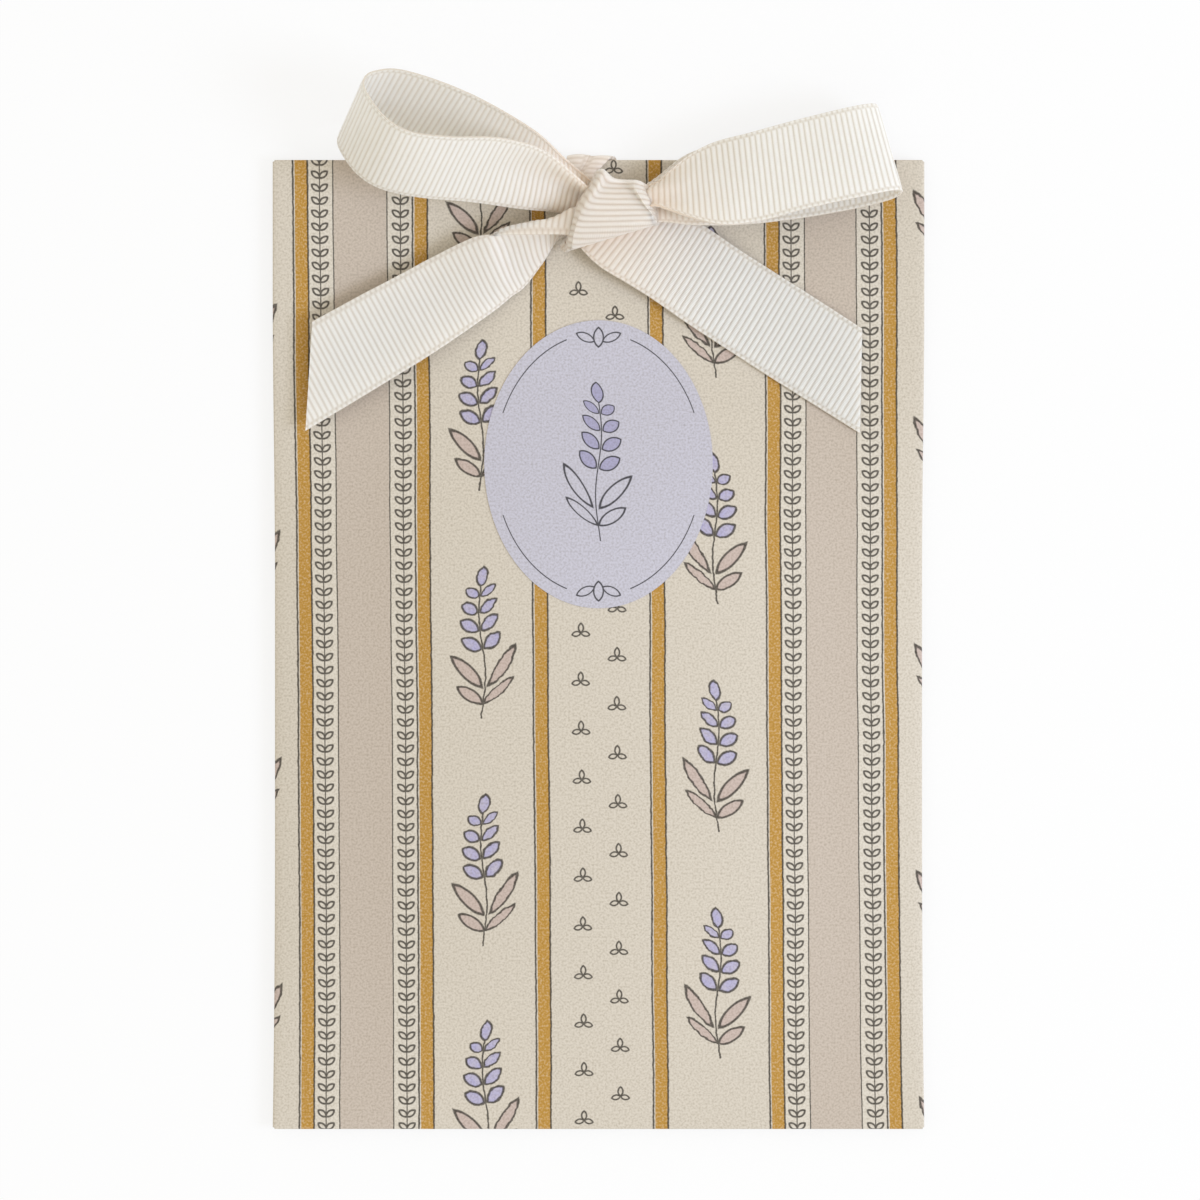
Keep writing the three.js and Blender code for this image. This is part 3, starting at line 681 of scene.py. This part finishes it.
def label_paper(mark):
    place = flat_place(mark)
    middle = (LABEL_MIDDLE[0] / MM, LABEL_MIDDLE[1] / MM, 0)
    own = place.node("ShaderNodeVectorMath", {"operation": "SUBTRACT"}, {0: place, 1: middle})
    x, y = (own.node("ShaderNodeSeparateXYZ", {}, {"Vector": own}, axis) for axis in ("X", "Y"))
    round_scale = (LABEL_HALF[0] / MM, LABEL_HALF[1] / MM, 1)
    oval = own.node("ShaderNodeMapping", {"vector_type": "TEXTURE"}, {"Vector": own, "Scale": round_scale})
    ring = own.node("ShaderNodeVectorMath", {"operation": "LENGTH"}, {0: oval}, "Value")
    ink = below(abs(ring - LINE_AT), LINE_HALF, OVAL_SOFT)
    ink = ink * (1 - below(abs(y), LINE_GAP_SIDE, LINE_SOFT)) * (1 - below(abs(x), LINE_GAP_END, LINE_SOFT))
    mirrored = vector_of(abs(x), abs(y))
    upright = leaf(mirrored, 0, ORNAMENT_UP, 90, 3.4, 1.7)
    ornament = nearest(upright, leaf(mirrored, 2.3, ORNAMENT_UP, 24, 3.4, 1.4))
    florets, leaves, stem = sprig(x * LABEL_SPRIG, y * LABEL_SPRIG)
    lines = (outline(ornament, 0.16), outline(florets, 0.12), outline(leaves, 0.14),
             below(stem, 0.1, LINE_SOFT))
    for line in lines:
        ink = ink.math("MAXIMUM", ink, line)
    tooth = noise(place, 2.6, 3.0)
    shade = mixed(below(florets, 2, 0.1) * 0.7, LILAC, LABEL_FLORET)
    shade = mixed(ink * (0.85 + 0.15 * tooth), shade, LABEL_INK)
    shade = grained(0.25 + 2.8 * (tooth - 0.5), shade, GRAIN_DARK)
    return {"Base Color": shade, "Roughness": 0.7, "Normal": relief(tooth, 0.1, 0.1 * MM)}


label_mesh = bmesh.new()
label_lay = label_mesh.verts.layers.float_vector.new("flat")
bmesh.ops.create_circle(label_mesh, cap_ends=True, segments=LABEL_SIDES, radius=1)
for _ in range(LABEL_RINGS - 1):
    inmost = max(label_mesh.faces, key=lambda f: len(f.verts))
    bmesh.ops.inset_region(label_mesh, faces=[inmost], thickness=1 / LABEL_RINGS, use_boundary=True)
inmost = max(label_mesh.faces, key=lambda f: len(f.verts))
bmesh.ops.poke(label_mesh, faces=[inmost])
label_top = bmesh.ops.extrude_face_region(label_mesh, geom=label_mesh.faces[:], use_keep_orig=True)
label_upper = {v for v in label_top["geom"] if isinstance(v, bmesh.types.BMVert)}
for v in label_mesh.verts:
    at_x, at_y = (LABEL_MIDDLE[i] + LABEL_HALF[i] * v.co[i] for i in (0, 1))
    v[label_lay] = (at_x / MM, at_y / MM, 0)
    label_height = front_top(at_x, at_y) + LABEL_OVER + (LABEL_THICK if v in label_upper else 0)
    v.co = (drawn_in(at_x, at_y), at_y, label_height)
bmesh.ops.recalc_face_normals(label_mesh, faces=label_mesh.faces[:])
label = piece("oval_label_paper", label_mesh, "sachet", "label_paper", finish("label_paper", label_paper))
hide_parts("oval_label")

# Ribbon over the edge: ivory grosgrain, 16 mm wide, ribbed from edge to edge between two corded
# selvedges. It comes through the hole, goes up the back, over the top edge and into the knot.
RIBBON_WIDTH = 16 * MM
RIB_PITCH = 1.0 * MM
STEPS_PER_RIB = 6
RIBBON_COLUMNS = 26
RIBBON_THIN = 0.28 * MM
RIB_RISE = 0.26 * MM
SELVEDGE = 1.15 * MM
RIBBON_CLEAR = 0.3 * MM
RIB_ROUNDNESS = 0.7
BEAD_SHARE = 0.8
# How far in from its edge the selvedge's beads have risen, where they end and where the ribs begin
BEADS_RISEN = 0.2 * MM
BEADS_END = (SELVEDGE - 0.35 * MM, SELVEDGE - 0.1 * MM)
RIBS_BEGIN = (SELVEDGE - 0.05 * MM, SELVEDGE + 0.2 * MM)
THREAD_PITCH_MM = 0.22
TRIAL_STEPS = 40
PLEATS = 1.5
PLEAT_SHARE = 0.2
PLEAT_PHASE = 0.6
# Painted warm shade: how far a peach tint reaches round the knot and how strong it is there, standing in
# for the shade and warm bounce light in the bow's creases
PAINTED_SHADE_REACH = 16 * MM
KNOT_PAINTED_SHADE = 0.6
IVORY = colour(250, 247, 240)
# Painted shade: the colour of the grooves between the ribs, darker than the crests
GROOVE_PAINTED_SHADE = colour(210, 200, 185)
# Painted warm shade: the peach colour laid on the ribbon near the knot and where it is drawn in
PAINTED_SHADE_PEACH = colour(242, 205, 178)
KNOT = (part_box("knot_core")[0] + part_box("knot_core")[1]) / 2


def grosgrain(mark):
    place = flat_place(mark)
    across, rib = (place.node("ShaderNodeSeparateXYZ", {}, {"Vector": place}, axis) for axis in "YZ")
    thread = across.math("SINE", across * (2 * math.pi / THREAD_PITCH_MM) + 6 * noise(place, 0.5))
    yarn = noise(place.node("ShaderNodeMapping", {}, {"Vector": place, "Scale": (0.6, 6, 0)}), 2.0, 3.0)
    # Painted shade in the grooves: darker between the ribs and lighter on their crests, varied at random by
    # the yarn
    shade = mixed(rib * (0.75 + 0.5 * yarn), GROOVE_PAINTED_SHADE, IVORY)
    near = mark.node("ShaderNodeAttribute", {"attribute_name": "painted_shade_near_knot"}, {}, "Fac")
    # Painted warm shade: the ribbon is tinted peach near the knot and where it is drawn in
    shade = mixed(0.7 * near, shade, PAINTED_SHADE_PEACH)
    return {"Base Color": shade, "Roughness": 0.45 - 0.15 * rib, "Normal": relief(thread, 0.22, 0.04 * MM),
            "Subsurface Weight": 0.9, "Subsurface Radius": (1, 1, 1), "Subsurface Scale": 1.2 * MM,
            "Sheen Weight": 0.7, "Sheen Roughness": 0.5, "Sheen Tint": IVORY, "Specular IOR Level": 0.6}


def folded_grosgrain(mark):
    """The same weave where it lies in several layers, which let no light through."""
    return {**grosgrain(mark), "Subsurface Weight": 0.0}


def spline(count, shares):
    """Weights of count points in a smooth curve through them, at shares of the way along it."""
    place = np.clip(shares, 0, 1) * (count - 1)
    first = np.minimum(place.astype(int), count - 2)
    t = place - first
    parts = (-t**3 + 2 * t**2 - t, 3 * t**3 - 5 * t**2 + 2, -3 * t**3 + 4 * t**2 + t, t**3 - t**2)
    weights = np.zeros((len(shares), count))
    for step, part in zip((-1, 0, 1, 2), parts):
        np.add.at(weights, (np.arange(len(shares)), np.clip(first + step, 0, count - 1)), part / 2)
    return weights


def ribbon(rails, shares=None, pleated=0.0, ground=front_top, bend=None):
    """A ribbed length of ribbon through stations, each a row of points from edge to edge in metres,
    evenly spaced or at shares of the width. Where it is drawn in narrower than it was woven, it may
    stand up in pleats, it may be bent once more, and it never sinks into the ground.
    Gives the mesh and its length."""
    rails = np.array(rails)
    stations, lines = rails.shape[:2]
    even = np.linspace(0, 1, lines)
    trial = np.linspace(0, 1, TRIAL_STEPS * stations)
    middle = spline(stations, trial) @ rails.mean(axis=1)
    run = np.concatenate(([0], np.cumsum(np.linalg.norm(np.diff(middle, axis=0), axis=1))))
    rows = round(run[-1] / RIB_PITCH * STEPS_PER_RIB)
    distance = np.linspace(0, run[-1], rows + 1)[:, None]
    share = (1 - np.cos(math.pi * np.linspace(0, 1, RIBBON_COLUMNS + 1))) / 2
    along = spline(stations, np.interp(distance[:, 0], run, trial))
    across = spline(lines, np.interp(share, even if shares is None else shares, even))
    skin = np.einsum("rs,ska,ck->rca", along, rails, across)

    def outward():
        out = np.cross(np.gradient(skin, axis=0), np.gradient(skin, axis=1))
        return out / np.linalg.norm(out, axis=2, keepdims=True)

    width = np.linalg.norm(np.diff(skin, axis=1), axis=2).sum(axis=1)[:, None]
    spare = np.sqrt(np.maximum((RIBBON_WIDTH / width) ** 2 - 1, 0))
    pleat = pleated * width / (4 * PLEATS) * spare * np.sin(2 * math.pi * PLEATS * share + PLEAT_PHASE)
    skin = skin + outward() * pleat[:, :, None]
    if bend:
        bend(skin)
    skin[:, :, 2] = np.maximum(skin[:, :, 2], ground(skin[:, :, 0], skin[:, :, 1]) + RIBBON_CLEAR)
    edge = np.minimum(share, 1 - share) * RIBBON_WIDTH
    rib = np.abs(np.sin(math.pi * distance / RIB_PITCH)) ** RIB_ROUNDNESS
    bead = np.abs(np.cos(math.pi * distance / RIB_PITCH)) ** RIB_ROUNDNESS * smooth(0, BEADS_RISEN, edge)
    bead = BEAD_SHARE * bead * (1 - smooth(*BEADS_END, edge))
    raised = rib * smooth(*RIBS_BEGIN, edge) + bead
    thick = (RIBBON_THIN + RIB_RISE * raised)[:, :, None]
    flat = np.stack(np.broadcast_arrays(distance / MM, share * RIBBON_WIDTH / MM, raised), axis=2)
    out = outward() * thick / 2
    made = closed_sheet(skin - out, skin + out, flat)
    # Painted warm shade: each point's share of the peach tint, strongest at the knot and where the ribbon
    # is drawn in narrow
    near = made.verts.layers.float.new("painted_shade_near_knot")
    place = made.verts.layers.float_vector["flat"]
    drawn = np.clip(1 - width[:, 0] / RIBBON_WIDTH, 0, 1)
    for v in made.verts:
        close = math.exp(-(((v.co - KNOT).length / PAINTED_SHADE_REACH) ** 2))
        v[near] = max(KNOT_PAINTED_SHADE * close, np.interp(v[place].x * MM, distance[:, 0], drawn))
    return made, run[-1]


def level(points):
    """Stations from millimetres: each point's last number is its height above the printed front."""
    return [[(x * MM, y * MM, front_top(x * MM, y * MM) + h * MM) for x, y, h in row] for row in points]


woven = finish("grosgrain", grosgrain)
# The path of its inner layer and half its folded width, in millimetres
STRAP_PATH = (
    (0, 73.6, 4.6, 2.9), (0, 73.6, 2.2, 2.9), (0, 74.1, 1.2, 3.0), (0, 75.5, 0.9, 3.6),
    (-0.7, 79.5, 0.9, 4.6), (-1.2, 84.6, 0.9, 4.4), (-1.3, 85.65, 1.2, 4.3), (-1.5, 85.75, 1.8, 4.0),
    (-1.8, 85.6, 2.4, 3.7),
    (-2.3, 84.7, 2.8, 3.2), (-2.8, 83.9, 3.0, 2.9), (-3.3, 83.0, 3.2, 2.6), (-3.4, 81.0, 3.8, 2.4),
    (-2.0, 78.6, 4.4, 2.2),
)
# Both edges are turned in to the middle: shares of the half width across,
# and millimetres out from the inner layer
EDGES_IN = ((0.02, 0.4), (-0.5, 0.6), (-1, 0.25), (-0.5, 0), (0.5, 0), (1, 0.15), (0.6, 0.35), (0.0, 0.25))


def edges_turned_in(path):
    """Rails of the ribbon along a path up the back and over the top edge, folded on its outer side."""
    middle = np.array(path)[:, :3]
    way = np.gradient(middle, axis=0)
    out = np.stack((0 * way[:, 0], way[:, 2], -way[:, 1]), axis=1)
    out = out / np.linalg.norm(out, axis=1, keepdims=True)
    sideways = np.array((1, 0, 0))
    return [[(at + sideways * (half * aside) + away * rise) * MM for aside, rise in EDGES_IN]
            for at, away, (*_, half) in zip(middle, out, path)]


strap_mesh, strap_length = ribbon(edges_turned_in(STRAP_PATH), ground=lambda x, y: 0 * x)
folded_weave = finish("folded_grosgrain", folded_grosgrain)
strap = piece("ribbon_over_edge", strap_mesh, "sachet", "grosgrain", folded_weave)
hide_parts("ribbon_strap")

# Heart of the knot: the crossing of the ribbon inside the turn that holds it, drawn tight in folds.
# It fills the turn, and little of it shows.
CORE_RINGS = 24
CORE_SIDES = 48
CORE_FOLDS = 5
CORE_FOLD_RISE = 0.35 * MM
CORE_SHARE = (0.8, 0.6, 0.7)

core_low, core_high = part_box("knot_core")
core_half = (core_high - core_low) / 2
heart_half = Vector(h * s for h, s in zip(core_half, CORE_SHARE))
heart_mesh = bmesh.new()
bmesh.ops.create_uvsphere(heart_mesh, u_segments=CORE_SIDES, v_segments=CORE_RINGS, radius=1)
heart_lay = heart_mesh.verts.layers.float_vector.new("flat")
heart_painted_shade = heart_mesh.verts.layers.float.new("painted_shade_near_knot")
for v in heart_mesh.verts:
    angle = math.atan2(v.co.y, v.co.z)
    fold = 1 - CORE_FOLD_RISE / heart_half.z * (1 + math.cos(CORE_FOLDS * angle + 3 * v.co.x)) / 2
    v[heart_lay] = (v.co.x * heart_half.x / MM, angle * heart_half.z / MM, fold)
    # Painted warm shade: the heart takes the full peach tint
    v[heart_painted_shade] = 1
    v.co = KNOT + Vector(c * h * fold for c, h in zip(v.co, heart_half))
heart = piece("knot_heart", heart_mesh, "sachet", "grosgrain", woven)
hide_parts("knot_core")

# Turn of the knot: the ribbon comes over the top and down the front, and rolls in under the heart
# along a slant. Its left side is drawn up into a ridge, its front lies flat, and its right side
# stands up again past a crease.
TURN_SHARES = (0, 0.17, 0.34, 0.76, 0.85, 1)
# Places from the left edge to the right one at these shares of the width, from the top downwards
TURN = (
    ((0.4, 82.0, 2.6), (1.2, 81.9, 3.6), (2.2, 81.0, 4.0),
     (4.4, 80.6, 4.0), (6.4, 80.4, 3.8), (8.0, 79.9, 2.8)),
    ((-0.2, 83.2, 5.2), (0.9, 83.2, 7.0), (2.4, 81.8, 7.1),
     (4.4, 81.4, 6.7), (6.8, 81.3, 7.0), (8.4, 80.6, 5.4)),
    ((-0.7, 82.3, 5.8), (0.4, 82.0, 8.2), (1.1, 80.6, 7.8),
     (4.8, 80.4, 7.0), (6.6, 80.3, 8.0), (8.9, 79.7, 5.4)),
    ((-1.4, 80.9, 6.4), (-0.5, 80.2, 8.9), (0.3, 79.0, 8.8),
     (5.9, 78.9, 7.8), (7.3, 78.9, 8.6), (9.6, 78.3, 5.4)),
    ((-2.6, 79.1, 6.7), (-1.7, 78.5, 9.2), (-0.7, 77.5, 9.3),
     (7.0, 77.4, 8.0), (8.2, 77.3, 8.6), (10.0, 76.9, 5.4)),
    ((-4.0, 76.6, 6.5), (-3.0, 76.2, 9.0), (-1.8, 75.4, 9.4),
     (8.3, 75.6, 7.8), (9.1, 75.7, 8.0), (10.3, 75.4, 5.0)),
    ((-5.0, 73.6, 5.8), (-4.0, 73.4, 8.2), (-2.5, 73.0, 8.8),
     (9.2, 73.4, 7.2), (9.8, 73.6, 7.0), (10.6, 73.6, 4.8)),
    ((-5.5, 71.2, 4.8), (-4.5, 70.9, 6.8), (-3.0, 70.6, 7.4),
     (9.4, 71.2, 6.4), (10.1, 71.4, 6.2), (11.0, 71.4, 4.6)),
    ((-5.7, 68.8, 3.8), (-4.7, 68.5, 5.4), (-3.2, 68.2, 5.8),
     (9.5, 69.0, 5.6), (10.2, 69.2, 5.4), (11.2, 69.2, 4.2)),
    ((-5.7, 66.4, 3.4), (-4.7, 66.1, 4.6), (-3.2, 65.8, 5.0),
     (9.5, 66.6, 5.0), (10.2, 66.8, 4.8), (11.2, 66.8, 4.0)),
)
# The line where it starts to roll in, and the radius of the roll
ROLL_LINE = ((-5.2, 70.9), (9.3, 75.2))
ROLL_RADIUS = 1.4 * MM


def rolled_under(skin):
    """Rolls what lies below the slanted line in under what lies above it."""
    start, end = (np.array(place) * MM for place in ROLL_LINE)
    way = (end - start) / np.linalg.norm(end - start)
    inward = np.array((-way[1], way[0]))
    past = np.maximum((start - skin[:, :, :2]) @ inward, 0)
    turned = np.minimum(past / ROLL_RADIUS, math.pi)
    reach = ROLL_RADIUS * np.sin(turned) - np.maximum(past - math.pi * ROLL_RADIUS, 0)
    skin[:, :, :2] += (past - reach)[:, :, None] * inward
    skin[:, :, 2] -= ROLL_RADIUS * (1 - np.cos(turned))


turn_mesh, turn_length = ribbon(level(TURN), TURN_SHARES, bend=rolled_under)
knot_turn = piece("knot_turn", turn_mesh, "sachet", "grosgrain", woven)
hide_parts("knot_wrap")

# Right tail: comes out from under the turn of the knot and lies away to the lower right across the paper.
# Its end is cut on the slant.
# Places from the lower edge to the upper one, where it still stands up from the paper
RIGHT_RISING = (
    ((-4.0, 71.2, 1.6), (-0.6, 74.6, 2.6), (2.6, 77.4, 2.8)),
    ((-2.7, 69.3, 2.4), (0.8, 73.4, 2.8), (4.5, 76.5, 2.8)),
    ((0.4, 66.4, 2.7), (4.5, 71.6, 2.9), (8.6, 76.4, 2.8)),
    ((4.9, 63.7, 2.4), (9.0, 69.9, 2.6), (13.0, 75.8, 2.4)),
    ((9.4, 60.9, 1.9), (13.6, 67.6, 2.0), (17.8, 74.2, 1.8)),
    ((16.1, 56.3, 1.1), (20.3, 63.2, 1.2), (24.4, 69.9, 1.1)),
)
# Where it lies flat: lower and upper edge, and the height over the paper
RIGHT_FLAT = (
    ((22.9, 51.9), (31.1, 65.6), 0.6), ((31.9, 46.1), (40.1, 59.9), 0.5), ((50.3, 34.6), (58.3, 48.0), 0.5),
)
RIGHT_SHARES = (0, 0.5, 1)
RIGHT_CUT = ((46.1, 37.3), (46.5, 55.5))


def cut_end(made, first, second):
    """Cuts a ribbon's end along the upright plane through two places, with the waste on the right."""
    start, end = (Vector((x * MM, y * MM, 0)) for x, y in (first, second))
    waste = (end - start).cross(Vector((0, 0, 1)))
    parts = made.verts[:] + made.edges[:] + made.faces[:]
    cut = {"plane_co": start, "plane_no": waste, "clear_outer": True}
    bmesh.ops.bisect_plane(made, geom=parts, dist=CUT_TOLERANCE, **cut)
    bmesh.ops.holes_fill(made, edges=[e for e in made.edges if e.is_boundary], sides=0)
    bmesh.ops.recalc_face_normals(made, faces=made.faces[:])


def hinged(shown, joint_name):
    """Finds the ribbon's joint at the knot and bakes the length's placing into its mesh."""
    joint = next(j for j in frame["joints"] if j["name"] == joint_name)
    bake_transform(shown)


def lying(edges, shares):
    """Rows of places straight across a flat ribbon from one edge to the other."""
    return [[(*(Vector(first).lerp(Vector(second), share)), height) for share in shares]
            for first, second, height in edges]


right_mesh, right_length = ribbon(level((*RIGHT_RISING, *lying(RIGHT_FLAT, RIGHT_SHARES))))
cut_end(right_mesh, *RIGHT_CUT)
right_tail = piece("right_tail", right_mesh, None, "grosgrain", woven)
hinged(right_tail, "tail_right_lift")
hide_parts("bow_tail_right")

# Left tail: the ribbon's other end. Its upper edge rolls forward where it leaves the knot,
# and further out it lies flat just over the paper, cut on the slant.
LEFT_SHARES = (0, 0.15, 0.33, 0.66, 1)
# Places from the upper edge to the lower one, at these shares of the width
LEFT_ROLLED = (
    ((-1.0, 71.8, 5.5), (-0.8, 74.0, 6.6), (-0.8, 76.4, 6.0), (-1.0, 74.2, 3.6), (-2.6, 71.6, 2.2)),
    ((-5.7, 72.0, 6.3), (-5.2, 74.4, 7.0), (-4.9, 76.4, 6.2), (-5.6, 73.6, 3.2), (-7.0, 71.5, 1.6)),
    ((-12.1, 72.0, 5.4), (-12.1, 74.2, 5.6), (-11.3, 72.2, 4.0), (-10.6, 68.9, 2.0), (-9.9, 67.2, 1.0)),
    ((-17.0, 72.0, 4.4), (-17.0, 72.9, 4.2), (-15.8, 70.4, 3.0), (-14.4, 66.0, 1.8), (-13.0, 63.1, 0.9)),
    ((-20.6, 72.0, 3.8), (-19.9, 70.4, 3.8), (-18.9, 68.0, 3.3), (-17.0, 63.9, 2.3), (-15.4, 61.3, 1.2)),
    ((-24.0, 70.8, 3.2), (-23.2, 69.0, 3.3), (-22.0, 66.4, 3.0), (-20.0, 62.2, 2.3), (-18.0, 59.1, 1.5)),
)
# Where it lies flat: upper and lower edge, and the height over the paper
LEFT_FLAT = (
    ((-29.7, 68.0), (-22.8, 55.6), 2.4), ((-36.2, 64.5), (-29.0, 51.4), 2.6),
    ((-43.8, 60.5), (-36.4, 46.8), 2.6), ((-62.1, 50.5), (-54.4, 35.9), 2.4),
)
LEFT_CUT = ((-50.4, 56.9), (-51.6, 37.5))

left_mesh, left_length = ribbon(level((*LEFT_ROLLED, *lying(LEFT_FLAT, LEFT_SHARES))), LEFT_SHARES)
cut_end(left_mesh, *LEFT_CUT)
left_tail = piece("left_tail", left_mesh, None, "grosgrain", woven)
hinged(left_tail, "tail_left_lift")
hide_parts("bow_tail_left")

# Loops of the bow: each leaves the front of the knot, turns round in a wide eye and comes back behind it.
# The ribbon is drawn in at the knot and opens to its full width.
KNOT_SIDE_GAP = 0.3 * MM
# A station is the ribbon's middle from the knot's side, the direction across it,
# the share of its width left and how far its middle stands out towards the front.
LEFT_LOOP = (
    ((6.0, 1.0, -1.5), (0.0, 0.8, 0.6), 0.4, 0), ((0.6, 4.2, 0.8), (0.25, 0.72, 0.6), 0.55, -0.8),
    ((-5.9, 6.6, 4.4), (0.25, 0.72, 0.65), 0.87, -1.5), ((-14.2, 8.0, 8.0), (0.33, 0.65, 0.68), 1, -0.7),
    ((-23.0, 8.4, 10.0), (0.34, 0.61, 0.71), 1, 0), ((-29.8, 9.6, 10.2), (0.33, 0.58, 0.75), 1, 0),
    ((-34.1, 12.3, 9.0), (0.32, 0.58, 0.75), 1, 0), ((-37.2, 16.6, 6.4), (0.31, 0.59, 0.75), 1, 0),
    ((-37.6, 19.0, 4.3), (0.31, 0.59, 0.75), 1, 0), ((-35.9, 20.7, 2.7), (0.33, 0.56, 0.76), 1, 0),
    ((-31.0, 21.0, 1.6), (0.36, 0.54, 0.76), 1, 0), ((-20.5, 17.2, 1.2), (0.39, 0.55, 0.74), 1, 0),
    ((-7.9, 11.0, 0.9), (0.3, 0.66, 0.69), 0.79, 0), ((0.0, 6.7, -0.6), (0.0, 0.85, 0.53), 0.48, 0),
    ((6.0, 2.5, -1.5), (0.0, 0.85, 0.53), 0.35, 0),
)
RIGHT_LOOP = (
    ((-5.0, 2.2, 0.6), (0.1, 0.9, -0.43), 0.3, 0), ((0.5, 4.2, 1.6), (0.1, 0.9, -0.43), 0.32, 0),
    ((2.9, 4.7, 2.2), (0.0, 0.92, -0.4), 0.46, -0.3), ((7.0, 5.4, 3.0), (-0.05, 0.93, -0.36), 0.76, -0.5),
    ((11.9, 5.9, 3.6), (-0.1, 0.95, -0.3), 0.97, -0.3),
    ((18.5, 7.1, 4.0), (-0.1, 0.98, -0.18), 1, 0), ((26.3, 9.2, 4.1), (-0.13, 0.97, -0.18), 1, 0),
    ((35.8, 11.4, 3.8), (-0.19, 0.97, -0.12), 1, 0), ((40.9, 12.4, 2.2), (-0.25, 0.95, -0.13), 1, 0),
    ((42.0, 12.0, 0.0), (-0.26, 0.94, -0.16), 1, 0), ((40.4, 10.8, -2.2), (-0.2, 0.94, -0.26), 1, 0),
    ((34.3, 9.4, -3.1), (-0.16, 0.96, -0.22), 1, 0), ((25.5, 7.9, -3.0), (-0.12, 0.97, -0.2), 1, 0),
    ((15.7, 6.4, -2.4), (-0.09, 0.95, -0.3), 0.98, 0), ((7.2, 5.2, -1.8), (-0.05, 0.9, -0.43), 0.88, 0),
    ((0.5, 3.0, -1.6), (0.0, 0.9, -0.43), 0.5, 0), ((-6.0, 0.0, -1.6), (0.0, 0.9, -0.43), 0.4, 0),
)


def loop_rails(stations, sign):
    """Three points across the ribbon at each station: its two edges and its middle."""
    root = KNOT + Vector((sign * (core_half.x + KNOT_SIDE_GAP), 0, 0))
    way = np.gradient(np.array([middle for middle, *_ in stations]), axis=0)
    rails = []
    for (middle, across, gather, cup), ahead in zip(stations, way):
        across = Vector(across).normalized()
        reach = across * RIBBON_WIDTH / 2 * gather
        out = across.cross(Vector(ahead)).normalized() * (-sign * cup * MM)
        at = root + Vector(middle) * MM
        rails.append((at + reach, at + out, at - reach))
    return rails


for hand, outwards, loop_stations in (("left", -1, LEFT_LOOP), ("right", 1, RIGHT_LOOP)):
    loop_mesh, loop_length = ribbon(loop_rails(loop_stations, outwards), pleated=PLEAT_SHARE)
    loop = piece(hand + "_loop", loop_mesh, None, "grosgrain", woven)
    hinged(loop, "loop_" + hand + "_lift")
    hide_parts("bow_loop_" + hand)
